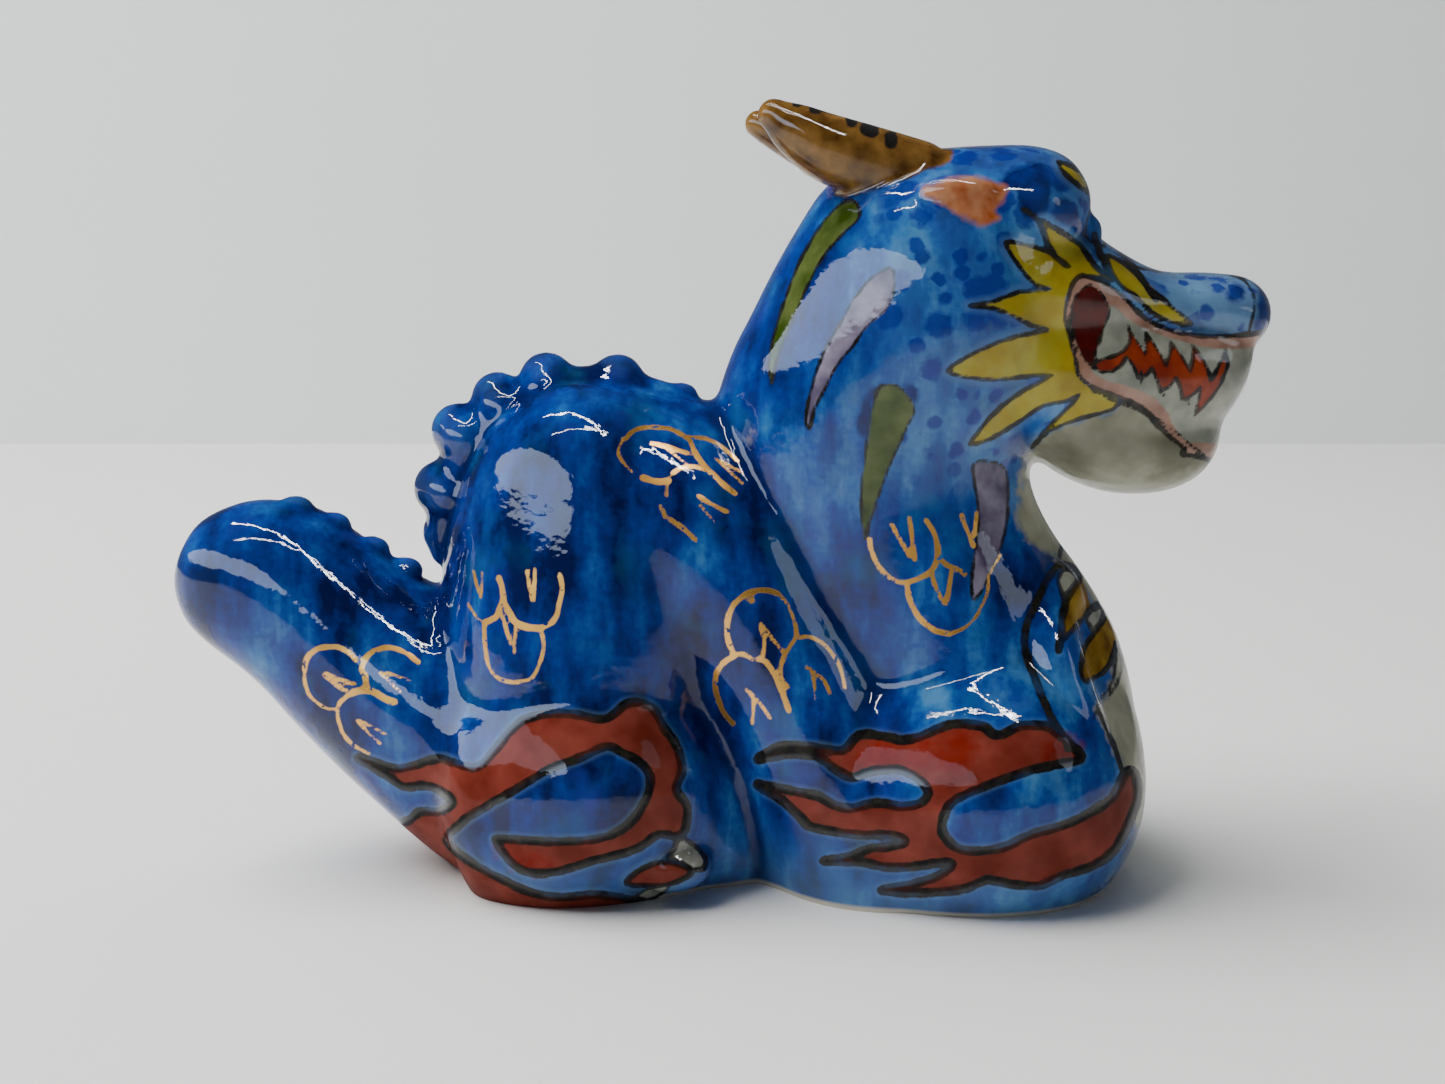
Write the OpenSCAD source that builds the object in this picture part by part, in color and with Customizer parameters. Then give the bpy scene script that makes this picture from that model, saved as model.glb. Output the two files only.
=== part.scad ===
// Hollow glazed ceramic beast: it lies on folded legs with its neck, its tail and
// a ridge of knobs raised. Separate clay pieces are joined with slip before glazing.
// Millimetres. +X points to the snout, +Y to the animal's left, +Z up.
// The origin is on the resting face, under the middle of the figure.

/* [Shells] */
// Wall thickness of the hollow clay shells
wall = 4; // [3:0.5:5]
// Thickness of the floor slab
floor_t = 3; // [2:0.5:4]
// Diameter of the vent hole in the floor slab
vent_d = 8; // [5:0.5:14]

/* [Legs] */
// Half of the distance between the inner faces of the folded legs
leg_plane = 20; // [16:1:21]
// Thickness of the raised forearms, as a share of the drawn one
forearm_size = 1; // [0.9:0.05:1.1]

/* [Head] */
// Thickness of the horns, as a share of the drawn one
horn_size = 1; // [0.9:0.05:1.1]
// Radius of the eyeball
eye_r = 3.2; // [2.6:0.2:3.8]
// Length of the ear
ear_l = 14; // [11:1:16]

/* [Ridge] */
// Radius of the knobs along the back, as a share of the drawn one
knob_size = 1; // [0.9:0.05:1.1]
// Radius of the small knobs on the tail
tail_knob_r = 2.6; // [2.2:0.1:3]

/* [Hidden] */

left = 1;
right = -1;
far = 150;              // longer than the figure, for cutting solids
outer_sides = 24;
inner_sides = 16;
ball_sides = 18;
centre_shift = 1.0;     // moves the drawn figure so that its box is centred

// A body section is [back x, back z, front x, front z, half width]: an ellipse
// that stands across the mirror plane, between a back or lower point and a
// front or upper point of the figure's outline.
TAIL = [
    [-30, -8, -18, 32, 24], [-45, -1, -28, 36, 22.5], [-59, 11, -40, 42, 19.5],
    [-68.5, 20.5, -49, 46.5, 16.8], [-77.5, 30.5, -57.5, 52.5, 14.8],
    [-85, 36.5, -66.5, 58.5, 13.2], [-88.5, 40.5, -76.5, 60, 11.2],
    [-90, 46, -85, 57, 7], [-89.2, 50.5, -88, 53, 2]
];
HUMP = [
    [-39, -8, 2, -8, 22], [-44.5, 4, 5, 2, 26], [-47, 18, 4, 14, 28.5],
    [-46.8, 34, 2, 30, 28], [-46, 48, 3, 44, 26], [-43.8, 61, 0, 59, 23],
    [-38.5, 72.5, -5, 71, 19.5], [-30, 79, -10, 77.8, 13], [-25, 80.3, -16, 79.8, 5]
];
FLANK = [
    [-34, 46, -27, 79, 17], [-24, 40, -15, 79.6, 20.5], [-14, 32, -3, 76.3, 22.5],
    [-6, 22, 10, 67.5, 24], [0, 10, 20, 52, 26.5], [6, -4, 30, 36, 29.5],
    [14, -20, 40, 18, 30]
];
HAUNCH = [
    [-47.3, 9, -47.5, 17, 4], [-45, 5, -46.5, 27, 18], [-41, -4, -43, 34, 26.5],
    [-36, -11, -37, 39.5, 30], [-26, -12, -26, 44, 34], [-14, -9, -14, 42, 33],
    [-4, -6, -4, 35, 27], [5, -8, 5, 26, 18.5], [11, -8, 11, 14, 8]
];
CHEST_LOBE = [
    [-2, -6, -2, 14, 6], [6, -12, 5, 27, 17], [16, -13, 15, 35, 27.5],
    [28, -14, 28, 42, 34.4], [40, -14, 41, 45, 37.6], [51, -12, 53, 43, 35.5],
    [59.3, -7, 61, 35.5, 29.5], [65.3, 0, 66.8, 29, 21], [69, 7, 69.3, 19, 9.5]
];
NECK = [
    [12, 11, 68.8, 13, 27], [14, 22, 68.6, 24, 26.5], [10, 38, 65.4, 37, 25],
    [2, 52, 60.2, 46.5, 23.5], [-2, 66, 54, 55, 22.5], [-1, 76, 50.5, 62, 22.5],
    [1.5, 84, 50, 68, 23], [4.5, 90, 53, 74, 23.8], [8, 97, 58, 84, 24.2],
    [12, 104, 59, 98, 23], [17, 111, 56, 108, 19], [26, 116, 46, 117, 9]
];
BROW = [
    [30, 100, 30, 116.3, 18], [40, 98, 41, 117, 19.5], [48, 97, 49.5, 117, 19.2],
    [52, 97, 55, 115, 16.5], [55, 99, 58.3, 110.3, 11]
];
SNOUT = [
    [46, 84, 50, 105, 20], [55, 83, 57, 104.5, 19], [61, 84, 62.5, 101, 17],
    [69, 86, 70, 97.3, 14.3], [78, 86, 78.5, 97, 13], [83, 84.5, 83.5, 96, 11.8],
    [86, 86.5, 86.5, 94, 8.5], [87.2, 89, 87.3, 92, 3]
];
MOUTH = [
    [46, 68, 46, 98, 19.6], [58, 67, 58, 98, 19.2], [70, 69, 70, 94, 16.8],
    [79, 72, 80, 92, 13.4], [82.5, 77, 84.5, 89, 10]
];
JAW = [
    [47, 70.5, 48, 90, 15], [54, 64.8, 54, 86, 16.5], [62, 61.6, 62, 82, 15.5],
    [70, 61.4, 70, 78, 14], [76, 63.5, 77, 77, 11.5], [79, 67, 80, 75, 7.5]
];

// Seams between the luted pieces, as points [x, z] of the mirror plane
tail_seam = [[-68.5, 20.5], [-46.3, 44.5]];
neck_seam = [[6, 0], [24, 38], [-3, 77.5]];
head_seam = [[1.5, 85], [50.5, 66]];
nose_seam = [[75, 90], [75, 120], [120, 120], [120, 85.5], [86, 87.5]];
jaw_back = 51;
jaw_top = 80.5;

// Knobs are [x, z, radius], from the shoulders back to the tail
BACK_KNOBS = [
    [-6.5, 76.6, 2.9], [-17, 79.6, 4.5], [-28.5, 79.8, 4.6], [-36.5, 76.8, 4.4],
    [-43, 71.5, 4.6], [-46, 62, 4.7], [-46.2, 54.6, 3.3]
];
TAIL_KNOBS = [[-52.4, 48.3], [-57.8, 51.8], [-64, 55.8], [-70, 58.5]];

// Rolls of clay as [x, y, z, radius], on the left side where they are paired
RIDGE = [
    [-9, 0, 76.2, 2.8], [-16, 0, 77.6, 3.3], [-22, 0, 78, 3.7], [-31, 0, 76, 4],
    [-38.3, 0, 71, 4.2], [-43, 0, 63.5, 4], [-44.8, 0, 57, 3.3], [-45.2, 0, 52, 2.8]
];
FOREARM = [[58.5, 23, 18, 5.3], [54, 22.6, 29, 5.3], [51, 18.3, 39.5, 5.3], [50.3, 14.3, 44.5, 5]];
HORN = [
    [31, 8, 112, 5.6], [24, 9, 114, 5.6], [16.5, 10, 116.4, 5.3],
    [11, 10.6, 119.4, 4.1], [8, 10.8, 121.4, 2.7]
];
// The left horn is longer and lies lower
HORN_LEFT = [
    [31, 8, 112.4, 5.3], [23, 9.4, 114.6, 4.7], [14.5, 10.4, 117.1, 4.1],
    [9, 11, 119.3, 3.1], [6, 11.2, 120.6, 2.4]
];

// Centres and half sizes of the small pieces, on the left side
forepaw_at = [51.5, 11.5, 45.5];
forepaw_half = [6.3, 6, 7];
hind_paw_at = [-8, 25, 6.2];
hind_paw_half = [6.5, 5.5, 4.2];
ear_at = [36, 17.6, 109];
eye_at = [56.2, 8, 103.6];
nose_at = [81.4, 0, 90.6];
nose_half = [6.6, 11.6, 6.2];
vent_x = 25;
keel_flat = 1.5;        // how much wider than tall the keel under the knobs is

blue = [0.11, 0.32, 0.62];
brick = [0.62, 0.25, 0.19];
amber = [0.55, 0.38, 0.14];
peach = [0.82, 0.55, 0.42];
bone = [0.78, 0.77, 0.7];
bisque = [0.86, 0.83, 0.77];
ink = [0.12, 0.12, 0.12];

// Catmull-Rom blend of four sections
function blend(a, b, c, d, t) =
    0.5 * (2 * b + (c - a) * t + (2 * a - 5 * b + 4 * c - d) * t * t
        + (3 * b - a - 3 * c + d) * t * t * t);

function smooth(list, steps) = [
    for (i = [0 : len(list) - 2], k = [0 : steps - 1])
        blend(list[max(i - 1, 0)], list[i], list[i + 1],
            list[min(i + 2, len(list) - 1)], k / steps),
    list[len(list) - 1]
];

// Points of one section's ellipse, drawn in by inset
function ring(s, inset, sides) =
    let (
        middle = [s[0] + s[2], s[1] + s[3]] / 2,
        reach = [s[2] - s[0], s[3] - s[1]] / 2,
        along = max(norm(reach) - inset, 0.5) / norm(reach),
        across = max(s[4] - inset, 0.5)
    )
    [for (i = [0 : sides - 1])
        let (c = cos(360 * i / sides) * along, w = sin(360 * i / sides) * across)
        [middle[0] + reach[0] * c, w, middle[1] + reach[1] * c]];

// Solid through a list of sections, as a chain of hulls
module loft(list, inset = 0, sides = outer_sides, steps = 2) {
    s = smooth(list, steps);
    for (i = [0 : len(s) - 2])
        hull()
            polyhedron(
                points = concat(ring(s[i], inset, sides), ring(s[i + 1], inset, sides)),
                faces = [[for (k = [0 : 2 * sides - 1]) k]]
            );
}

// Solid that fills a polygon of the mirror plane from side to side
module across(points)
    rotate([90, 0, 0])
        linear_extrude(2 * far, center = true)
            polygon(points);

module above_floor() translate([-far, -far, floor_t]) cube([2 * far, 2 * far, far]);

module between_legs() translate([-far, -leg_plane, 0]) cube([2 * far, 2 * leg_plane, far]);

module beside(side)
    translate([-far, side > 0 ? leg_plane : -leg_plane - far, floor_t])
        cube([2 * far, far, far]);

function beyond(p, q, k) = q + (q - p) / norm(q - p) * k;

function turned(p, q) = [p[1] - q[1], q[0] - p[0]] / norm(q - p);

// Half plane to the left of the line from p to q
function half_plane(p, q) =
    let (a = beyond(q, p, far), b = beyond(p, q, far), n = turned(p, q) * far)
    [a, b, b + n, a + n];

module tail_side() across(half_plane(tail_seam[0], tail_seam[1]));

module head_side() across(half_plane(head_seam[0], head_seam[1]));

module front_side()
    across(concat(
        [[neck_seam[0][0], -far]],
        neck_seam,
        [[neck_seam[2][0], far], [far, far], [far, -far]]
    ));

module jaw_side() across([[jaw_back, 0], [jaw_back, jaw_top], [far, jaw_top], [far, 0]]);

module nose_side() across(nose_seam);

// Outer skin and cavity of the trunk and the neck
module trunk_skin() {
    loft(HUMP);
    loft(FLANK);
    loft(NECK);
    intersection() {
        union() {
            loft(HAUNCH);
            loft(CHEST_LOBE);
        }
        between_legs();
    }
}

module trunk_cavity() {
    loft(HUMP, wall, inner_sides, 1);
    loft(FLANK, wall, inner_sides, 1);
    loft(NECK, wall, inner_sides, 1);
    loft(TAIL, wall, inner_sides, 1);
}

module head_skin() {
    loft(NECK);
    loft(BROW);
    loft(SNOUT);
    loft(MOUTH);
}

module placed() translate([centre_shift, 0, 0]) children();

module mirrored(side) scale([1, side, 1]) children();

module rear_body()
    color(blue) placed() difference() {
        intersection() {
            union() {
                trunk_skin();
                difference() {
                    loft(TAIL);
                    tail_side();
                }
            }
            above_floor();
        }
        front_side();
        trunk_cavity();
    }

module front_body()
    color(blue) placed() difference() {
        intersection() {
            trunk_skin();
            above_floor();
            front_side();
        }
        head_side();
        trunk_cavity();
    }

module head()
    color(blue) placed() difference() {
        intersection() {
            head_skin();
            head_side();
        }
        jaw_side();
        nose_side();
        trunk_cavity();
    }

module lower_jaw()
    color(bone) placed() intersection() {
        union() {
            loft(JAW);
            loft(MOUTH);
        }
        jaw_side();
    }

module tail()
    color(blue) placed() difference() {
        intersection() {
            loft(TAIL);
            tail_side();
        }
        loft(HUMP);
        loft(TAIL, wall, inner_sides, 1);
    }

// Half width of a section's ellipse at the height of the resting face
function foot(s) =
    let (middle = (s[1] + s[3]) / 2, reach = (s[3] - s[1]) / 2, k = middle / reach)
    [s[0] + (s[2] - s[0]) * (1 - k) / 2, s[4] * sqrt(max(1 - k * k, 0))];

function footprint(list) =
    let (half = [for (s = smooth(list, 3)) if (s[1] < 0) foot(s)], n = len(half))
    concat(half, [for (i = [n - 1 : -1 : 0]) [half[i][0], -half[i][1]]]);

module floor()
    color(bisque) placed() linear_extrude(floor_t) difference() {
        union() {
            polygon(footprint(HAUNCH));
            polygon(footprint(CHEST_LOBE));
        }
        translate([vent_x, 0]) circle(d = vent_d);
    }

module leg(list, side)
    color(brick) placed() difference() {
        intersection() {
            loft(list);
            beside(side);
        }
        loft(HUMP);
        loft(FLANK);
        loft(NECK);
    }

module ball(r) sphere(r, $fn = ball_sides);

module hind_paw(side)
    color(bone) placed() mirrored(side) difference() {
        intersection() {
            translate(hind_paw_at) scale(hind_paw_half) ball(1);
            above_floor();
        }
        loft(HAUNCH);
    }

// Roll of clay through [x, y, z, radius] points
module roll(points, size = 1)
    for (i = [0 : len(points) - 2])
        hull() {
            translate([for (k = [0 : 2]) points[i][k]]) ball(points[i][3] * size);
            translate([for (k = [0 : 2]) points[i + 1][k]]) ball(points[i + 1][3] * size);
        }

module keel() scale([1, keel_flat, 1]) roll(RIDGE);

module forearm(side)
    color(blue) placed() mirrored(side) difference() {
        roll(FOREARM, forearm_size);
        translate(forepaw_at) scale(forepaw_half) ball(1);
        loft(NECK);
        loft(CHEST_LOBE);
    }

module forepaw(side)
    color(amber) placed() mirrored(side) difference() {
        translate(forepaw_at) scale(forepaw_half) ball(1);
        loft(NECK);
    }

module horn(points, side)
    color(amber) placed() mirrored(side) difference() {
        roll(points, horn_size);
        loft(NECK);
        loft(BROW);
    }

module ear(side)
    color(peach) placed() mirrored(side) difference() {
        translate(ear_at) rotate([-20, 4, 0]) scale([ear_l / 2, 2.6, 3.6]) ball(1);
        loft(NECK);
        loft(BROW);
    }

module eye(side)
    color(ink) placed() mirrored(side) difference() {
        translate(eye_at) ball(eye_r);
        loft(BROW);
        loft(NECK);
        loft(SNOUT);
    }

module nose()
    color(blue) placed() intersection() {
        union() {
            loft(SNOUT);
            loft(MOUTH);
            translate(nose_at) scale(nose_half) ball(1);
        }
        nose_side();
    }

module back_ridge()
    color(blue) placed() difference() {
        keel();
        loft(HUMP);
        loft(FLANK);
        loft(NECK);
        loft(TAIL);
    }

module back_knob(i)
    color(blue) placed() difference() {
        translate([BACK_KNOBS[i][0], 0, BACK_KNOBS[i][1]])
            ball(BACK_KNOBS[i][2] * knob_size);
        keel();
        loft(HUMP);
        loft(FLANK);
        loft(NECK);
        loft(TAIL);
    }

module tail_knob(i)
    color(blue) placed() difference() {
        translate([TAIL_KNOBS[i][0], 0, TAIL_KNOBS[i][1]]) ball(tail_knob_r);
        keel();
        loft(TAIL);
        loft(HUMP);
    }

rear_body();
front_body();
head();
lower_jaw();
tail();
floor();
leg(HAUNCH, left);  // hind_leg_left
leg(HAUNCH, right);  // hind_leg_right
leg(CHEST_LOBE, left);  // foreleg_left
leg(CHEST_LOBE, right);  // foreleg_right
hind_paw(left);  // hind_paw_left
hind_paw(right);  // hind_paw_right
forearm(left);  // forearm_left
forearm(right);  // forearm_right
forepaw(left);  // forepaw_left
forepaw(right);  // forepaw_right
horn(HORN_LEFT, left);  // horn_left
horn(HORN, right);  // horn_right
ear(left);  // ear_left
ear(right);  // ear_right
eye(left);  // eye_left
eye(right);  // eye_right
nose();
back_ridge();
back_knob(0);  // back_knob_1
back_knob(1);  // back_knob_2
back_knob(2);  // back_knob_3
back_knob(3);  // back_knob_4
back_knob(4);  // back_knob_5
back_knob(5);  // back_knob_6
back_knob(6);  // back_knob_7
tail_knob(0);  // tail_knob_1
tail_knob(1);  // tail_knob_2
tail_knob(2);  // tail_knob_3
tail_knob(3);  // tail_knob_4
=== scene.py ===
"""A hollow glazed ceramic beast, hand painted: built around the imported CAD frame.

The drawn lists are in millimetres, in the frame of the CAD drawing: x to the snout, z up,
mirror plane at y = 0. Meshes are written in metres, shifted so that the box is centred.
"""
import math

import bmesh
import bpy
import numpy as np
from mathutils import Matrix, Vector
from mathutils.interpolate import poly_3d_calc
from mathutils.bvhtree import BVHTree


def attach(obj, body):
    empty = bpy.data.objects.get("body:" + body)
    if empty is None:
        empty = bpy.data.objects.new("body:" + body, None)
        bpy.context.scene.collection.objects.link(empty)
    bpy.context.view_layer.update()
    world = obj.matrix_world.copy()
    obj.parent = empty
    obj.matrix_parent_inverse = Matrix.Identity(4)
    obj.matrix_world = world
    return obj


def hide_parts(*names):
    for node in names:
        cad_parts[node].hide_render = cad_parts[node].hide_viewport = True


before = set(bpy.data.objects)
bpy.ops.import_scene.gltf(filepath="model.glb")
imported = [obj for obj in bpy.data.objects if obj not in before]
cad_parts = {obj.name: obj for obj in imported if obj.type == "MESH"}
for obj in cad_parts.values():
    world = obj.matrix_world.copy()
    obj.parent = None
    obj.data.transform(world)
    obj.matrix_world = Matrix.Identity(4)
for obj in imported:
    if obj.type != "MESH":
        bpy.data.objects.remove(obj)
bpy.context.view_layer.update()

MM = 0.001
CENTRE_SHIFT = 1.0       # millimetres from the drawing to the centred frame
WALL = 4.0
FLOOR_T = 3.0
VENT_X, VENT_R = 25.0, 4.0
LEG_PLANE = 20.0
KEEL_FLAT = 1.5
CUT_MARGIN, PAIRED_MARGIN = 0.6, 0.7   # millimetres by which a cutter is larger than its piece
CORE_DEPTH = 0.7         # millimetres under the skin where the small pieces end

# ---- drawn shape

# [back x, back z, front x, front z, half width] of ellipses across the mirror plane
TAIL = [
    [-30, -8, -18, 32, 24], [-45, -1, -28, 36, 22.5], [-59, 11, -40, 42, 19.5],
    [-68.5, 20.5, -49, 46.5, 16.8], [-77.5, 30.5, -57.5, 52.5, 14.8],
    [-85, 36.5, -66.5, 58.5, 13.2], [-88.5, 40.5, -76.5, 60, 11.2],
    [-90, 46, -85, 57, 7], [-89.2, 50.5, -88, 53, 2],
]
HUMP = [
    [-39, -8, 2, -8, 22], [-44.5, 4, 5, 2, 26], [-47, 18, 4, 14, 28.5],
    [-46.8, 34, 2, 30, 28], [-46, 48, 3, 44, 26], [-43.8, 61, 0, 59, 23],
    [-38.5, 72.5, -5, 71, 19.5], [-30, 79, -10, 77.8, 13], [-25, 80.3, -16, 79.8, 5],
]
FLANK = [
    [-34, 46, -27, 79, 17], [-24, 40, -15, 79.6, 20.5], [-14, 32, -3, 76.3, 22.5],
    [-6, 22, 10, 67.5, 24], [0, 10, 20, 52, 26.5], [6, -4, 30, 36, 29.5],
    [14, -20, 40, 18, 30],
]
HAUNCH = [
    [-47.3, 9, -47.5, 17, 4], [-45, 5, -46.5, 27, 18], [-41, -4, -43, 34, 26.5],
    [-36, -11, -37, 39.5, 30], [-26, -12, -26, 44, 34], [-14, -9, -14, 42, 33],
    [-4, -6, -4, 35, 27], [5, -8, 5, 26, 18.5], [11, -8, 11, 14, 8],
]
CHEST_LOBE = [
    [-2, -6, -2, 14, 6], [6, -12, 5, 27, 17], [16, -13, 15, 35, 27.5],
    [28, -14, 28, 42, 34.4], [40, -14, 41, 45, 37.6], [51, -12, 53, 43, 35.5],
    [59.3, -7, 61, 35.5, 29.5], [65.3, 0, 66.8, 29, 21], [69, 7, 69.3, 19, 9.5],
]
NECK = [
    [12, 11, 68.8, 13, 27], [14, 22, 68.6, 24, 26.5], [10, 38, 65.4, 37, 25],
    [2, 52, 60.2, 46.5, 23.5], [-2, 66, 54, 55, 22.5], [-1, 76, 50.5, 62, 22.5],
    [1.5, 84, 50, 68, 23], [4.5, 90, 53, 74, 23.8], [8, 97, 58, 84, 24.2],
    [12, 104, 59, 98, 23], [17, 111, 56, 108, 19], [26, 116, 46, 117, 9],
]
BROW = [
    [30, 100, 30, 116.3, 18], [40, 98, 41, 117, 19.5], [48, 97, 49.5, 117, 19.2],
    [52, 97, 55, 115, 16.5], [55, 99, 58.3, 110.3, 11],
]
SNOUT = [
    [46, 84, 50, 105, 20], [55, 83, 57, 104.5, 19], [61, 84, 62.5, 101, 17],
    [69, 86, 70, 97.3, 14.3], [78, 86, 78.5, 97, 13], [83, 84.5, 83.5, 96, 11.8],
    [86, 86.5, 86.5, 94, 8.5], [87.2, 89, 87.3, 92, 3],
]
MOUTH = [
    [46, 68, 46, 98, 19.6], [58, 67, 58, 98, 19.2], [70, 69, 70, 94, 16.8],
    [79, 72, 80, 92, 13.4], [82.5, 77, 84.5, 89, 10],
]
JAW = [
    [47, 70.5, 48, 90, 15], [54, 64.8, 54, 86, 16.5], [62, 61.6, 62, 82, 15.5],
    [70, 61.4, 70, 78, 14], [76, 63.5, 77, 77, 11.5], [79, 67, 80, 75, 7.5],
]
# [x, z, radius]
BACK_KNOBS = [
    [-6.5, 76.6, 2.9], [-17, 79.6, 4.5], [-28.5, 79.8, 4.6], [-36.5, 76.8, 4.4],
    [-43, 71.5, 4.6], [-46, 62, 4.7], [-46.2, 54.6, 3.3],
]
TAIL_KNOBS = [
    [-52.4, 48.3, 2.6], [-57.8, 51.8, 2.6], [-64, 55.8, 2.6], [-70, 58.5, 2.6],
]
# [x, y, z, radius], on the left side where they are paired
RIDGE = [
    [-9, 0, 76.2, 2.8], [-16, 0, 77.6, 3.3], [-22, 0, 78, 3.7], [-31, 0, 76, 4],
    [-38.3, 0, 71, 4.2], [-43, 0, 63.5, 4], [-44.8, 0, 57, 3.3], [-45.2, 0, 52, 2.8],
]
FOREARM = [[58.5, 23, 18, 5.3], [54, 22.6, 29, 5.3], [51, 18.3, 39.5, 5.3], [50.3, 14.3, 44.5, 5]]
HORNS = {
    -1: [[31, 8, 112, 5.6], [24, 9, 114, 5.6], [16.5, 10, 116.4, 5.3], [11, 10.6, 119.4, 4.1],
         [8, 10.8, 121.4, 2.7]],
    1: [[31, 8, 112.4, 5.3], [23, 9.4, 114.6, 4.7], [14.5, 10.4, 117.1, 4.1], [9, 11, 119.3, 3.1],
        [6, 11.2, 120.6, 2.4]],
}
# ((centre), (half sizes)) on the left side
FOREPAW = ((51.5, 11.5, 45.5), (6.3, 6, 7))
HIND_PAW = ((-8, 25, 6.2), (6.5, 5.5, 4.2))
EAR = ((36, 17.6, 109), (7, 2.6, 3.6))
EAR_TURN = (-20, 4)
EYE = ((56.2, 8, 103.6), (3.2, 3.2, 3.2))
PUPIL = (58.6, 7.2, 104.6)
NOSTRIL = (87.2, 4.8, 91.6)
NOSE = ((81.4, 0, 90.6), (6.6, 11.6, 6.2))

# [x, y, z, radius] of places where the forearm and the tail run smoothly into the body
SOFT_SPOTS = [
    [55.5, 13, 43, 8.5], [57.5, 19, 34, 7], [50, 19, 46, 6], [-45, 19, 8, 7], [-45.5, 19, 18, 7],
    [-45, 20, 28, 7], [-44, 21, 38, 7],
]

# Seams between the luted pieces, as polygons [x, z] of the mirror plane
TAIL_SIDE = [[-46.3, 44.5], [-56, 70], [-120, 70], [-120, -9], [-95.7, -9]]
FRONT_SIDE = [[6, -30], [6, 0], [24, 38], [-3, 77.5], [-3, 150], [120, 150], [120, -30]]
HEAD_SIDE = [[-60, 108.9], [1.5, 85], [50.5, 66], [120, 39], [120, 150], [-60, 150]]
JAW_SIDE = [[51, 63], [58, 56], [120, 56], [120, 80.5], [51, 80.5]]
NOSE_SIDE = [[75, 90], [75, 120], [120, 120], [120, 85.5], [86, 87.5]]


def bend(a, b, c, d, steps):
    """Points of a Catmull-Rom curve, from b on to just before c."""
    return [0.5 * (2 * b + (c - a) * t + (2 * a - 5 * b + 4 * c - d) * t ** 2
                   + (3 * b - a - 3 * c + d) * t ** 3) for t in np.arange(steps) / steps]


def smooth_rows(rows, steps):
    """Smooth curve through rows of numbers."""
    p = np.array(rows, float)
    out = []
    for i in range(len(p) - 1):
        out += bend(p[max(i - 1, 0)], p[i], p[i + 1], p[min(i + 2, len(p) - 1)], steps)
    return np.array(out + [p[-1]])


def rings_mesh(rings):
    """Closed mesh through a stack of rings of points."""
    n, m = rings.shape[:2]
    verts = rings.reshape(-1, 3)
    faces = []
    for i in range(n - 1):
        for j in range(m):
            k = (j + 1) % m
            faces.append([i * m + j, i * m + k, (i + 1) * m + k, (i + 1) * m + j])
    faces.append(list(range(m))[::-1])
    faces.append(list(range((n - 1) * m, n * m)))
    return verts, faces


def loft(rows, inset=0.0, grow=0.0, steps=8, sides=72):
    """Solid through body sections, drawn in by inset or swollen by grow."""
    s = smooth_rows(rows, steps)
    a = np.linspace(0, 2 * math.pi, sides, endpoint=False)
    middle = (s[:, 0:2] + s[:, 2:4]) / 2
    reach = (s[:, 2:4] - s[:, 0:2]) / 2
    size = np.linalg.norm(reach, axis=1)
    along = np.maximum(size - inset + grow, 0.5) / size
    across = np.maximum(s[:, 4] - inset + grow, 0.5)
    rings = np.zeros((len(s), sides, 3))
    rings[:, :, 0] = middle[:, :1] + (reach[:, 0] * along)[:, None] * np.cos(a)
    rings[:, :, 2] = middle[:, 1:] + (reach[:, 1] * along)[:, None] * np.cos(a)
    rings[:, :, 1] = across[:, None] * np.sin(a)
    return rings_mesh(rings)


def tube(rows, side, grow=0.0, flat=1.0, steps=6, sides=32):
    """Round-ended solid along [x, y, z, radius] rows; flat widens it sideways."""
    s = smooth_rows(rows, steps)
    p, r = s[:, :3].copy(), s[:, 3] + grow
    heading = np.gradient(p, axis=0)
    heading /= np.linalg.norm(heading, axis=1)[:, None]
    cap = np.linspace(0.08, 1, 7)
    first = [(p[0] - heading[0] * r[0] * math.sqrt(1 - c * c), r[0] * c, heading[0]) for c in cap]
    last = [(p[-1] + heading[-1] * r[-1] * math.sqrt(1 - c * c), r[-1] * c, heading[-1])
            for c in cap[::-1]]
    body = [(p[i], r[i], heading[i]) for i in range(1, len(p) - 1)]
    a = np.linspace(0, 2 * math.pi, sides, endpoint=False)
    rings = []
    for centre, radius, ahead in first + body + last:
        e1 = np.cross(ahead, [0.0, 1.0, 0.0])
        e1 /= np.linalg.norm(e1)
        e2 = np.cross(ahead, e1)
        rings.append(centre + radius * (np.outer(np.cos(a), e1) + flat * np.outer(np.sin(a), e2)))
    rings = np.array(rings)
    rings[:, :, 1] *= side
    return rings_mesh(rings)


def egg(shape, side, grow=0.0, turn=None, rings=20, sides=36):
    """Ellipsoid ((centre), (half sizes)), turned by degrees about x and y."""
    centre, half = np.array(shape[0], float), np.array(shape[1], float) + grow
    lat = np.linspace(-math.pi / 2 + 0.05, math.pi / 2 - 0.05, rings)
    a = np.linspace(0, 2 * math.pi, sides, endpoint=False)
    pts = np.zeros((rings, sides, 3))
    pts[:, :, 0] = np.cos(lat)[:, None] * np.cos(a)
    pts[:, :, 1] = np.cos(lat)[:, None] * np.sin(a)
    pts[:, :, 2] = np.sin(lat)[:, None]
    pts *= half
    if turn is not None:
        roll, pitch = [Matrix.Rotation(math.radians(angle), 3, axis) for angle, axis in zip(turn, "XY")]
        pts = pts @ np.array(pitch @ roll).T
    pts += centre
    pts[:, :, 1] *= side
    return rings_mesh(pts)


def prism(outline, y0=-150.0, y1=150.0):
    """Solid that fills an [x, z] outline from y0 to y1."""
    ring = np.array([[[x, y, z] for x, z in outline] for y in (y0, y1)], float)
    return rings_mesh(ring)


def slab(z0, z1):
    return prism([[-150, z0], [150, z0], [150, z1], [-150, z1]])


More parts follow.
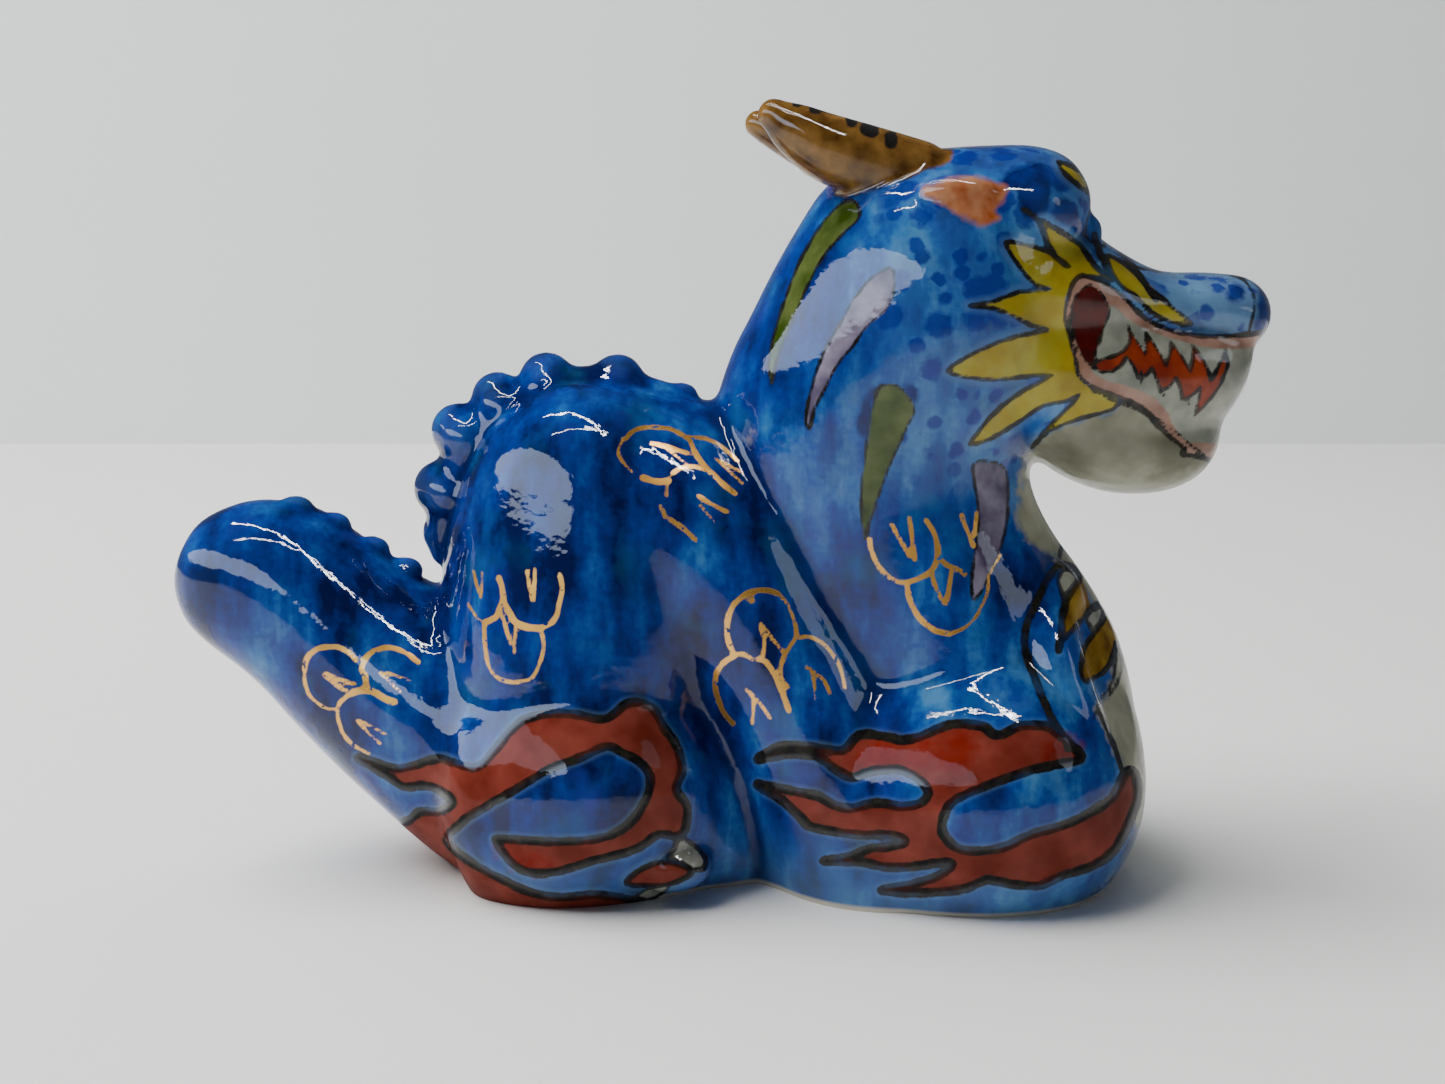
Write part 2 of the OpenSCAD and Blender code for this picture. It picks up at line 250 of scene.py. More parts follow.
def make(name, *solids):
    """Object from drawn solids, in metres, with its faces turned outwards."""
    bm = bmesh.new()
    for verts, faces in solids:
        made = [bm.verts.new(((v[0] + CENTRE_SHIFT) * MM, v[1] * MM, v[2] * MM)) for v in verts]
        new = [bm.faces.new([made[i] for i in f]) for f in faces]
        bmesh.ops.recalc_face_normals(bm, faces=new)
    mesh = bpy.data.meshes.new(name)
    bm.to_mesh(mesh)
    bm.free()
    obj = bpy.data.objects.new(name, mesh)
    bpy.context.scene.collection.objects.link(obj)
    return obj


def bake_modifiers(obj):
    """Applies the object's modifiers to its mesh."""
    bpy.context.view_layer.update()
    depsgraph = bpy.context.evaluated_depsgraph_get()
    mesh = bpy.data.meshes.new_from_object(obj.evaluated_get(depsgraph))
    old = obj.data
    obj.modifiers.clear()
    obj.data = mesh
    bpy.data.meshes.remove(old)
    return obj


def rub(obj, rounds, group=""):
    """Adds a modifier that smooths the skin, or a vertex group of it."""
    smooth = obj.modifiers.new("rub", "SMOOTH")
    smooth.factor = 0.5
    smooth.iterations = rounds
    smooth.vertex_group = group


def melt(obj, voxel, rounds):
    """Fuses overlapping solids into one skin and rounds the creases."""
    remesh = obj.modifiers.new("fuse", "REMESH")
    remesh.mode = "VOXEL"
    remesh.voxel_size = voxel * MM
    rub(obj, rounds)
    return bake_modifiers(obj)


def combine(obj, other, operation):
    """Boolean of two solids; the first one keeps its name."""
    cut = obj.modifiers.new("cut", "BOOLEAN")
    cut.operation = operation
    cut.solver = "MANIFOLD"
    cut.object = other
    return bake_modifiers(obj)


def copy_of(obj, name):
    new = bpy.data.objects.new(name, obj.data.copy())
    bpy.context.scene.collection.objects.link(new)
    return new


def drop(obj):
    mesh = obj.data
    bpy.data.objects.remove(obj)
    bpy.data.meshes.remove(mesh)


SIDES = (("left", 1), ("right", -1))


def carve(obj, operation, *solids):
    """Boolean of obj and drawn solids, one after the other."""
    for solid in solids:
        part = make("part", solid)
        combine(obj, part, operation)
        drop(part)
    return obj


def union(name, *solids):
    """One solid from drawn solids that may overlap."""
    return carve(make(name, solids[0]), "UNION", *solids[1:])


def joined(obj, *others):
    """Adds the meshes of other objects to obj and drops them."""
    bm = bmesh.new()
    for source in (obj, *others):
        bm.from_mesh(source.data)
    bm.to_mesh(obj.data)
    bm.free()
    for other in others:
        drop(other)
    return obj


def knob(x, z, r, grow=0.0):
    """A knob of the back, or one of the low, long ones of the tail."""
    low = r < min(row[2] for row in BACK_KNOBS)
    return egg(((x, 0, z), (r * (1.3 if low else 0.98), r * 1.12, r * (0.9 if low else 0.98))), 1, grow)


def knob_eggs(grow=0.0):
    return [knob(*row, grow) for row in BACK_KNOBS + TAIL_KNOBS]


def knob_roots():
    """Broad feet under the knobs, so that they stand on the keel like scallops."""
    feet = []
    for x, z, r in BACK_KNOBS:
        inward = np.array([-20.0 - x, 56.0 - z])
        inward /= np.linalg.norm(inward)
        feet.append(egg(((x + 1.8 * inward[0], 0, z + 1.8 * inward[1]), (r * 1.1, r * 1.6, r * 1.1)), 1))
    return feet


def paired(side, grow):
    """The small pieces of one side."""
    return {"forearm": tube(FOREARM, side, grow), "forepaw": egg(FOREPAW, side, grow),
            "hind_paw": egg(HIND_PAW, side, grow), "ear": egg(EAR, side, grow, EAR_TURN),
            "eye": egg(EYE, side, grow), "horn": tube(HORNS[side], side, grow)}


def detail_solids(grow=0.0):
    return [solid for _, side in SIDES for solid in paired(side, grow).values()]


def read(items, key, width=1, kind=float):
    """A property of mesh elements as an array, with a row for each where it has a width."""
    values = np.empty(len(items) * width, kind)
    items.foreach_get(key, values)
    return values.reshape(-1, width) if width > 1 else values


def soften(obj, spots, rounds):
    """Rounds the creases further within [x, y, z, radius] spots, the same on both sides."""
    at = read(obj.data.vertices, "co", 3) / MM - (CENTRE_SHIFT, 0, 0)
    at[:, 1] = np.abs(at[:, 1])
    near = np.any([np.linalg.norm(at - spot[:3], axis=1) < spot[3] for spot in spots], axis=0)
    group = obj.vertex_groups.new(name="soft")
    group.add(np.nonzero(near)[0].tolist(), 1.0, "REPLACE")
    rub(obj, rounds, group.name)
    bake_modifiers(obj)
    obj.vertex_groups.clear()


def sculpt():
    """The whole figure as one skin, and the trunk without its small pieces, drawn in a little."""
    forms = TAIL, HUMP, FLANK, HAUNCH, CHEST_LOBE, NECK, BROW, SNOUT, MOUTH, JAW
    trunk = make("trunk", *[loft(rows) for rows in forms], egg(NOSE, 1))
    melt(trunk, voxel=0.9, rounds=14)
    core = copy_of(trunk, "core")
    pull = core.modifiers.new("pull", "DISPLACE")
    pull.strength = -CORE_DEPTH * MM
    pull.mid_level = 0
    bake_modifiers(core)
    melt(core, voxel=1.2, rounds=0)
    crest = make("crest", tube(RIDGE, 1, 0.3, KEEL_FLAT), *knob_eggs(), *knob_roots())
    melt(crest, voxel=0.5, rounds=18)
    joined(trunk, make("details", *detail_solids()), crest)
    melt(trunk, voxel=0.55, rounds=8)
    soften(trunk, SOFT_SPOTS, rounds=60)
    return carve(trunk, "DIFFERENCE", slab(-60, 0)), core


# ---- painted pattern

# The pattern is drawn as it looks from beside the figure, from this point, in a plane at the
# side of the body or of the head. It is the same on both sides. Outlines are x, z, x, z and so
# on; lines begin with their width.
EYE_Y, EYE_Z = -337.8, 112.6
BODY_PLANE, HEAD_PLANE = -25.0, -20.0
FADE = 4.0               # millimetres from an edge where the paint fields level off
ON_SKIN = 0.03           # millimetres from the skin within which a cut's vertex is painted like it
SLIVER = 4e-9            # square metres below which a face's own normal means nothing
CREAM_BACK, MOUTH_BACK = 42, 45   # x where the cream belly and the drawn mouth end towards the tail
CREAM_TOP = 74

RED_REAR = [
    -56.5, 23.5, -51, 21.8, -48, 22.2, -44, 23.3, -40.5, 22.2, -37.8, 22, -35, 25, -32.5, 28, -29.5, 30,
    -24, 30.5, -19, 29.6, -17, 30.2, -15, 32, -12.5, 32.2, -10.5, 31, -9.2, 28.5, -7.5, 26, -6.2, 22,
    -7.2, 18.5, -5.5, 15.5, -5.8, 12, -7.2, 10.8, -10, 11, -14, 8.5, -20, 6.8, -26, 5, -30, 4.8, -33, 6.5,
    -35.3, 10, -34, 10.3, -29, 10, -22, 10, -17, 11.2, -14, 13.5, -11.8, 17, -11.2, 20, -12.5, 22.5,
    -15.5, 24.3, -18, 25.2, -22, 23.5, -27, 21.5, -32, 18.5, -37, 15.5, -41, 12.8, -43, 10, -40, 7,
    -36, 4.5, -31, 2, -26, 0.8, -20, 1.2, -14, 0.3, -10, -1.5, -10, -9, -30, -9, -44, -4, -49, 4, -52, 11,
    -48.5, 13.6, -47, 14.8, -44, 14.8, -42, 16.3, -44, 18.3, -46.5, 19, -49.5, 18.8, -52, 20.5,
]
RED_FRONT = [
    5.5, 23.2, 9, 25.3, 14, 25.2, 18.5, 24.6, 21, 27, 24, 27, 28, 26.3, 31, 27, 35, 28.7, 40, 28.6,
    42.5, 27, 46, 28.5, 50, 28.5, 52, 27.3, 54, 25.5, 55.5, 23.2, 50, 22, 45, 20.5, 40, 18.5, 36, 16.5,
    34.5, 14, 34.3, 11.5, 36, 9.3, 39, 8.4, 44, 9, 48, 11, 53, 12.5, 58, 15, 61, 17.5, 62.2, 20.5,
    63.4, 21.5, 64.3, 20, 64.5, 17, 63.3, 13, 61.5, 9, 58, 6, 53, 4.3, 50, 2.8, 46, 2.8, 42, 3.6, 40.5, 3.3,
    37, 2, 31, 1.5, 25, 2, 29, 2.8, 33, 4, 35.5, 5.5, 35.5, 6.5, 33, 6.3, 30, 5.8, 26, 5.7, 22, 6.5,
    16, 6.7, 20, 7.5, 23, 8.8, 27, 9.2, 28.5, 10, 26, 11, 21, 11, 14, 12.2, 12.5, 13.5, 9.5, 16.5, 7, 18,
    5.5, 19.2, 10, 18.3, 15, 17.2, 17.5, 15.8, 20, 15.3, 24, 16.2, 28, 15.6, 31, 16.2, 32, 18, 30.5, 20,
    27.5, 21.5, 23, 21.3, 20, 20.3, 17, 22, 14.5, 23.7, 10, 24,
]
DEEP_RED = [
    [-35, 9, -30, 8, -27, 6, -30, 5, -33, 6.5], [20, 21.5, 22, 26, 30, 26, 38, 28, 38, 22, 30, 21.5],
    [50, 23, 52, 27, 55, 24.5],
]
CLAW_HIND = [
    -6.8, 10.5, -4.5, 9.4, -2.7, 7.2, -2.9, 5.6, -4.5, 5.4, -7, 6.8, -8.5, 6.9, -7.6, 8.8,
]
PAD_HIND = [
    -15, 3, -13, 5.2, -10, 6.5, -7, 6.2, -4.8, 5, -7, 3.4, -10, 2.8,
]
HEEL_HIND = [
    -13.5, 1, -10.5, 2.6, -8.5, 2.4, -11, 0.6,
]
CLAWS = [
    [51.3, 51.5, 52, 53, 53.3, 53, 54, 52, 53.6, 50.7, 52.8, 49.6, 52.3, 48.4, 51.7, 50],
    [55.7, 45.6, 57, 47, 58, 47.2, 58.3, 46.3, 57.8, 45, 56.9, 43.4, 56.2, 44.4],
]
PADS = [
    [52.3, 48.2, 53.7, 50.7, 54.6, 52.2, 55.4, 50.5, 56.1, 48.5, 56.3, 47.2, 55, 45.4, 53.4, 43.6, 52.5, 43,
     52.2, 45],
    [57, 43.5, 58.3, 45.3, 59, 46, 60, 44.3, 60.4, 42, 60, 39.8, 59, 37.8, 57.6, 36.5, 56.2, 35.8,
     55.5, 36.4, 55.3, 38, 55.6, 40.5, 56.2, 42.3],
]
ARM = [
    54.3, 24.5, 49.8, 32, 46.6, 41, 48, 48, 51, 53.8, 54, 53, 57, 48, 60, 44, 60.3, 38, 58.5, 33, 58, 31,
    59.5, 28, 62.3, 20,
]
PAW_LINES = [
    [1.3, 53.6, 25, 52.6, 27, 51, 29.5, 49.6, 32.3, 48.2, 35.8, 46.9, 39.2, 46.3, 42, 46.8, 45, 48, 48,
     49.5, 51.5, 51, 53.6, 52.5, 53.7, 53.9, 53, 54.3, 51.6, 53.4, 50, 52.5, 48.3, 52.1, 46, 51.9, 43,
     51.6, 40.5],
    [0.9, 52.6, 42.5, 53.8, 43.8, 55.1, 45.4, 56.2, 47, 57.3, 47.8, 58.5, 47.4, 58.6, 46, 57.5, 43.9,
     56.1, 42, 55.3, 39.5, 55.2, 37, 55.9, 35.6, 57.4, 36.3, 58.9, 37.4, 59.9, 39.4, 60.3, 41.6],
    [0.5, 60.3, 41.6, 60.5, 39, 60.2, 36.5, 59.6, 34.5, 58.4, 33, 57.7, 31, 57.3, 29.7],
    [0.5, 61.2, 41, 61.4, 38, 60.9, 35.5, 59.6, 33.4],
    [0.8, 58, 31.2, 59.5, 28, 60.8, 25, 61.8, 22, 62.3, 20.5], [0.6, 51.8, 57.8, 51.3, 55, 51.4, 53.4],
]
YELLOW = [
    [48.2, 105.8, 49.5, 104.7, 51.5, 103.5, 54, 101.8, 55.3, 99.8, 57, 98, 58.9, 96.7, 55.5, 97.4,
     53.5, 96.8, 52.2, 94, 52.1, 91, 53, 87.5, 53.8, 85, 54.2, 82.5, 55.2, 81.3, 57, 80.3, 60.4, 79,
     59.7, 77.1, 55, 75.8, 50, 73.8, 47.5, 71.2, 49.5, 74, 52.5, 77, 54.3, 79.2, 52.3, 78.3, 49, 77.7,
     45, 75, 41, 72.5, 37.8, 71.7, 39.5, 74, 42, 77, 46, 80, 50.2, 82.3, 47, 82.2, 42, 81.7, 37.5, 82,
     34.3, 83, 37, 85, 41, 87, 45, 88.3, 49.4, 89.2, 47, 89.9, 44.5, 91.2, 41, 92.5, 37.5, 92.9, 41, 93.5,
     45, 95, 49.7, 95.3, 47.2, 96.2, 45.5, 98, 43.8, 100.3, 42.7, 102.4, 45, 102.2, 48, 101.5, 50, 100.6,
     52.4, 98.7, 51, 99.6, 49.8, 101.3, 48.7, 103.5],
    [58, 100.4, 59.7, 99.9, 62, 98.2, 64, 96.3, 66, 94.5, 68.5, 92.4, 71.3, 90.1, 68, 90.5, 65, 92,
     62, 94.8, 60.2, 96, 59, 98],
    [50.3, 114.3, 52.5, 113.6, 54.8, 111.7, 54.8, 110, 53, 111.2, 51.5, 112.5],
]
MOUTH_OUTLINE = [
    53.5, 97, 55.5, 97.5, 58, 96.8, 60, 96, 62, 94.6, 64, 92.8, 66, 91.3, 68.5, 90, 71, 89, 74, 88.4,
    78, 88.2, 90, 88.2, 90, 70, 74.5, 70, 73.5, 71, 71.5, 73, 69, 75, 66, 76.8, 63, 78.2, 60, 79.3,
    57.5, 80.2, 55.4, 81.3, 54.2, 82.6, 53.7, 85, 52.8, 88, 52, 91, 52.3, 94,
]
TEETH = [
    60, 92.8, 62, 92, 64, 90.6, 66.5, 89.3, 70, 88, 72.5, 87.2, 75, 86.6, 78, 86.3, 90, 85.9, 90, 72.4,
    76, 72, 74, 72.2, 72, 74.4, 70, 76.4, 68, 77.9, 65, 79.4, 62, 80.6, 58.5, 81.6, 56.4, 82.9, 56.8, 85,
    58.5, 88, 59.7, 91,
]
GAP = [
    56.8, 84.4, 59.5, 85.1, 61.5, 86, 63, 87.4, 63.6, 89.9, 64.1, 87.5, 64.8, 85.5, 65.5, 87.2, 66.3, 88.8,
    67, 86.2, 67.8, 83.9, 68.8, 85.4, 69.8, 87.4, 70.5, 85, 71.3, 83, 72, 84.8, 72.7, 87, 73.7, 84,
    74.5, 81.6, 75.9, 84, 77.5, 86.2, 77.2, 84, 76, 80.5, 75, 78, 74.4, 76.1, 73.5, 78, 73, 80.3, 72, 79.2,
    70.8, 78.6, 70, 80.5, 69.3, 82.1, 68.3, 80.6, 67, 79.9, 66.2, 81.8, 65.5, 83.4, 64.5, 82.3, 63.3, 82,
    62.4, 84, 61.8, 85.2, 60.7, 83.8, 59.5, 83, 58, 82.9, 56.6, 83.5,
]
MAROON = [
    53.4, 94, 54.5, 95.4, 56.4, 95.9, 58, 95.1, 59.4, 93.2, 60, 91.5, 59.2, 89, 58, 87, 57, 85.2,
    56.7, 83.6, 55.5, 84.4, 54.4, 86, 53.4, 88.5, 52.8, 91,
]
FACE_LINES = [
    [0.9, 45.2, 107.3, 47.3, 106, 48.4, 103.5, 49.6, 101, 51.8, 98.9],
    [0.7, 48.8, 105.4, 51.8, 103.7, 54, 102, 55.8, 99.6, 57.5, 97.8, 58.8, 96.8],
    [1.1, 56, 103.6, 56.8, 101.2, 58, 98.8, 58.9, 97],
    [1.0, 57.8, 103.6, 60, 101.2, 62, 98.8, 63.9, 96.2, 65.7, 93.9],
    [0.5, 50.3, 114.3, 52.5, 113.6, 54.9, 111.8], [0.6, 51.5, 112.5, 53, 111.2, 54.8, 109.8],
    [0.4, 56.3, 80, 59.8, 78.4, 63, 77.2, 66, 75.9, 69, 74, 71.5, 71.9, 74.2, 69.8],
    [0.4, 47.4, 71.2, 49.6, 74, 52.6, 77, 54.5, 79.5],
    [0.5, 49.5, 73.7, 54.8, 75.7, 59.7, 77.1, 60.4, 78.5], [0.45, 63.8, 83, 63.9, 81],
    [0.45, 66.9, 80.2, 67.4, 79.2], [0.45, 70.7, 79, 71.2, 78],
    [0.5, 62.5, 98.7, 66, 98.1, 70, 98.4, 75, 98.1, 78.5, 97, 80.3, 94.8, 80.6, 92, 79.8, 88.4],
]
CHIN = [
    47.2, 71, 50, 73.8, 55, 75.7, 59.7, 77, 60.3, 78.6, 63, 78.2, 66, 76.8, 69, 75, 71.5, 73, 74.5, 70,
    84, 70, 84, 55, 50, 55, 46, 66,
]
GREEN = [
    [18.7, 108.6, 20.3, 108, 20.5, 106, 18, 103.5, 15, 100, 12.5, 95, 10.5, 90.5, 9, 87, 8, 83.5, 7.5, 81,
     7, 84, 7.7, 88, 9.2, 93, 11, 98, 13.5, 103, 16, 106.5],
    [24, 80.5, 26.5, 80.8, 28.5, 79, 29.3, 76.7, 28.3, 74.5, 27, 71.5, 25.5, 68, 24, 63.5, 22.7, 59.5,
     22.2, 56.7, 21.6, 59.5, 21.3, 64, 21.8, 69, 22.2, 73, 22.8, 76.8],
]
MAUVE = [
    [25.5, 98.5, 26, 95.5, 25, 92.5, 22, 90, 20, 87, 17.5, 84, 15.5, 80, 14, 77, 13.4, 74, 12.7, 75.5,
     13.3, 79, 14.3, 83, 16, 87, 18, 90.5, 20, 94, 22.5, 97],
    [38.7, 68.8, 41.5, 69, 43.6, 67.5, 44, 62, 43.4, 57, 41.8, 52, 39.2, 47.3, 38.7, 50, 39, 54.5, 39.4, 58,
     39.4, 62, 38.7, 66],
]
PEACH = [
    29.8, 110, 32, 111.2, 35, 112, 38, 112.1, 41, 111.3, 42.7, 110.4, 42.3, 108.5, 41.2, 107.2, 41.5, 105.9,
    40.2, 105.1, 38.4, 105, 36, 106.3, 33, 108,
]
DARK_DABS = [
    [42.3, 112, 44, 113.6, 47, 114.2, 49.2, 113, 49.4, 110, 48.6, 107, 46.6, 105.6, 45, 107, 44.3, 109.5,
     42.8, 110.5], [49.8, 112.6, 51.5, 113, 52.4, 111.5, 51.5, 110, 50, 110.4],
    [50, 109, 52.5, 108.4, 54, 105.8, 54.6, 102.5, 52.6, 104.2, 50, 106],
    [22.6, 80, 23.7, 80.4, 22.6, 76.4, 21.9, 73, 20.3, 75, 21.4, 78],
    [27.5, 81, 29.5, 80.2, 29.9, 77.8, 28.6, 78.6], [77, 96, 78.8, 95.8, 79, 94.2, 77.6, 93.6, 76.2, 94.6],
    [80.5, 97.5, 84, 96, 86, 92, 84, 88.5, 80.4, 88.6, 81.2, 92, 81.2, 95],
]
GOLD = [
    [0.8, -46.8, 38.7, -48.6, 40.1, -51, 41, -53.3, 40.5, -54.9, 39.2, -55.6, 37.5],
    [0.9, -56.4, 39, -57.3, 40.1, -59, 41, -60.8, 41, -62.5, 40.6, -63.8, 39.4, -64.3, 37.5],
    [0.5, -64.3, 37.2, -64.3, 35.6, -63.8, 33.7, -62.6, 32.3, -61, 31.3, -59.6, 31.2],
    [1.1, -57.2, 33.7, -56, 34.1, -54.6, 34.2, -53.3, 33.7, -52, 32.8, -50.6, 32.4],
    [0.9, -55.6, 37.5, -55, 36.3, -54.8, 34.6],
    [0.6, -56.7, 35.2, -59, 36, -61.3, 36.8, -59.4, 35, -57.4, 33.7],
    [0.6, -57.4, 33.5, -58.2, 33, -59.2, 31.9, -59.4, 30.3, -59.2, 28.9, -58.5, 27, -57.3, 25.6,
     -55.8, 24.6, -54.8, 24.1], [0.4, -52.2, 27.3, -56.4, 29.4, -53, 25.7], [0.5, -53, 37.3, -49.6, 34],
    [0.5, -52, 37.1, -48.2, 35.8], [0.4, -38.9, 47.8, -37.8, 45.9, -36.6, 44.9],
    [0.35, -38, 53, -37, 48.8, -36.6, 52.8],
    [0.9, -34.1, 51.8, -33.7, 50.4, -33.5, 48.5, -34.2, 47, -34.6, 45.8, -36.4, 44.9],
    [1.0, -33.5, 48.2, -32.7, 46.6, -31.8, 45, -30.2, 44.2, -28.4, 44],
    [0.6, -34.1, 47, -33.4, 44.8, -32.5, 41.5], [0.5, -31.6, 45, -31.8, 42.9, -32, 40.2],
    [0.6, -36.6, 44.6, -36.4, 41, -36, 38.2, -34.8, 36.3, -33, 35.6, -31.1, 35.6, -29.3, 36.2, -28.2, 38.2,
     -27.5, 40.5, -27.5, 42.4, -28, 44],
    [0.8, -28, 44, -26.5, 44.6, -25.4, 46, -25, 47.6, -24.5, 50, -24.8, 52.3],
    [0.6, -29.8, 52.8, -29, 48.3, -28.6, 53.2],
    [0.6, -14.6, 73.2, -13.2, 74.6, -10.7, 75, -8, 74.7, -5.9, 73.7, -5, 73],
    [0.5, -15, 73.3, -15.7, 71.2, -15, 69.6, -13.7, 68.2], [1.0, -12.1, 67.3, -9.8, 66.7, -8.2, 66.8],
    [0.5, -8.4, 66.6, -8.5, 64.5], [0.6, -9.4, 62.9, -8.5, 61], [0.8, -7.8, 60.8, -5.7, 59.3, -4.1, 57.7],
    [0.7, -10.7, 72.6, -8, 71.9, -5.3, 71], [0.4, -8.4, 71.7, -5.7, 69.6],
    [0.7, -7.5, 68, -6.2, 68.8, -4.3, 69, -2.5, 68.5],
    [0.8, -4.8, 72.8, -3.9, 70.7, -2.5, 68.9, -0.2, 66.6, 2, 64.8],
    [0.6, -4.8, 73.5, -2.5, 73.2, -0.2, 72.1, 2.3, 69.8], [0.4, -1.1, 70.3, 3, 66.4],
    [0.4, -0.6, 70, 3.2, 68], [0.7, -3.6, 64.5, -1.6, 63.2, 0.6, 62.1], [0.4, -3.4, 63, -1.1, 60.4],
    [0.9, 1.8, 39.8, 0.9, 41.9, 0.7, 44.7, 1.4, 47.1, 2.5, 48.5, 4.4, 49.7, 6.7, 49.9, 8.5, 49.4],
    [0.6, 8.5, 49.4, 9.9, 47.8, 10.8, 45.7, 11.3, 43.8, 11.2, 42.6, 10.3, 41, 9.6, 39.8],
    [0.8, 9.6, 39.8, 9, 38.1, 9, 36.2, 9.9, 34.8],
    [0.6, 6.2, 39.6, 6.4, 41.9, 5.8, 44.7, 7.6, 42.4, 9.4, 40.2],
    [0.8, 1.8, 39.6, 0.2, 38.6, -0.9, 36.9, -1.1, 34.8, -0.7, 32.7, 0.2, 30.6, 1.6, 28.9],
    [0.6, 4.6, 28.9, 4.8, 32.7, 3.7, 34.3, 5.7, 32.2, 7.3, 29.8], [0.7, 2.2, 39.9, 3.4, 39.8, 4.6, 39.1],
    [0.9, 5.3, 39.1, 6.7, 38.6, 8.3, 36.2, 9.4, 33.4, 10.3, 31],
    [0.6, 11.6, 42.5, 13.5, 42.6, 15.4, 41.6, 17.2, 39.5, 18.3, 37.2, 18.8, 34.6],
    [0.5, 14.4, 32.7, 13.8, 37, 12.8, 37.9, 15.4, 36, 16.7, 33.4],
    [0.35, 4.4, 49, 4.9, 48.5, 4.4, 48, 3.9, 48.5, 4.4, 49],
    [0.8, 22.4, 57.8, 22.8, 55.7, 23.8, 53.6, 25.1, 52.2, 27, 51.2, 28.3, 51.2, 30.2, 51.9, 31.5, 52.6,
     32.5, 54, 32.8, 55.7, 32.5, 58, 31.8, 59.4, 30.9, 60.8], [0.6, 25.7, 60.1, 28.6, 55],
    [0.7, 28.4, 61.2, 29.3, 54.7], [0.7, 32.8, 55.2, 34.3, 53.8, 35.7, 53.3, 37, 52.3],
    [0.6, 32, 52.4, 32.5, 50.6, 34.1, 47.8, 34.7, 51, 35, 53.1],
    [0.9, 28.1, 51.2, 28.6, 48.7, 29.7, 46.3, 31.3, 44.5, 32.9, 43.5, 34.7, 43.1],
    [0.5, 34.7, 43.1, 36.6, 43.8, 38.4, 45.2, 39.6, 47.3, 40.5, 49.6, 40.6, 52.4],
    [0.7, 36.3, 61.5, 38.2, 56.8], [0.6, 38.6, 62, 38.3, 58.4], [0.4, 41, 52.9, 42.3, 55.4],
]
BELLY_SIDE = [
    51.4, 61, 51.2, 55, 53.6, 53.6, 55.6, 50.5, 58, 47.8, 60, 44.5, 60.9, 41, 60.5, 36.5, 59.2, 33.5,
    57.9, 31.2, 59.5, 28, 61, 24.5, 62.3, 20.5, 63.8, 21, 64.6, 17.5, 64.3, 13.5, 66, 11, 90, 11, 90, 61,
]
HORN_BANDS = [
    [1.7, 19.2, 120.5, 19.3, 120.2], [2, 21.5, 119.2, 22.4, 118.8], [2, 25.2, 117.9, 25.2, 117.2],
    [1.0, 13.4, 122, 14.2, 121.8], [0.8, 10.8, 122.8, 11.3, 122.7],
]


def curve(points, closed, steps=4):
    """Smooth line through the drawn points."""
    p = np.array(points, float).reshape(-1, 2)
    n = len(p)
    if n < 3:
        return p
    if not closed:
        return smooth_rows(p, steps)
    out = []
    for i in range(n):
        out += bend(p[i - 1], p[i], p[(i + 1) % n], p[(i + 2) % n], steps)
    return np.array(out + out[:1])


def distance(p, line):
    """Distance of points to a broken line."""
    best = np.full(len(p), 1e9)
    for a, b in zip(line[:-1], line[1:]):
        d = b - a
        t = np.clip(((p - a) @ d) / max(d @ d, 1e-9), 0, 1)
        best = np.minimum(best, ((p - a - t[:, None] * d) ** 2).sum(1))
    return np.sqrt(best)


def inside(p, line):
    """True for points within a closed line."""
    odd = np.zeros(len(p), bool)
    for (ax, az), (bx, bz) in zip(line[:-1], line[1:]):
        if az != bz:
            across = (az > p[:, 1]) != (bz > p[:, 1])
            odd ^= across & (p[:, 0] < ax + (p[:, 1] - az) * (bx - ax) / (bz - az))
    return odd


class Paint:
    """Paint fields on the vertices of a skin: millimetres inside each colour's edge."""

    def __init__(self, obj):
        self.mesh = obj.data
        self.n = len(self.mesh.vertices)
        self.v = read(self.mesh.vertices, "co", 3) / MM - (CENTRE_SHIFT, 0, 0)
        side = -np.abs(self.v[:, 1])
        self.plane = {}
        for name, where in (("body", BODY_PLANE), ("head", HEAD_PLANE)):
            t = (where - EYE_Y) / (side - EYE_Y)
            self.plane[name] = np.column_stack([self.v[:, 0] * t, EYE_Z + (self.v[:, 2] - EYE_Z) * t])
        self.fields = {}

    def field(self, name):
        return self.fields.setdefault(name, np.full(self.n, -FADE))

    def near(self, plane, line):
        p = self.plane[plane]
        low, high = line.min(0) - FADE, line.max(0) + FADE
        return np.nonzero(((p > low) & (p < high)).all(1))[0]

    def fill(self, name, plane, outline, ink=0.0, steps=4):
        """Colours a drawn outline, with an ink line of that width along it."""
        line = curve(outline, True, steps)
        hit = self.near(plane, line)
        p = self.plane[plane][hit]
        d = distance(p, line)
        f = self.field(name)
        f[hit] = np.maximum(f[hit], np.where(inside(p, line), d, -d))
        if ink:
            f = self.field("ink")
            f[hit] = np.maximum(f[hit], ink / 2 - d)

    def fill_all(self, name, plane, outlines, *how):
        for outline in outlines:
            self.fill(name, plane, outline, *how)

    def stroke_all(self, name, plane, lines):
        """Draws lines of their own widths."""
        f = self.field(name)
        for width, *points in lines:
            line = curve(points, False, 5)
            hit = self.near(plane, line)
            f[hit] = np.maximum(f[hit], width / 2 - distance(self.plane[plane][hit], line))

    def raise_to(self, name, value):
        self.fields[name] = np.maximum(self.field(name), np.clip(value, -FADE, FADE))

    def keep(self, name, where):
        """Takes the colour away where a mask is false."""
        self.fields[name] = np.where(where, self.field(name), -FADE)

    def write(self):
        for name, values in self.fields.items():
            data = self.mesh.attributes.new(name, "FLOAT", "POINT").data
            data.foreach_set("value", np.clip(values, -FADE, FADE).astype(np.float32))


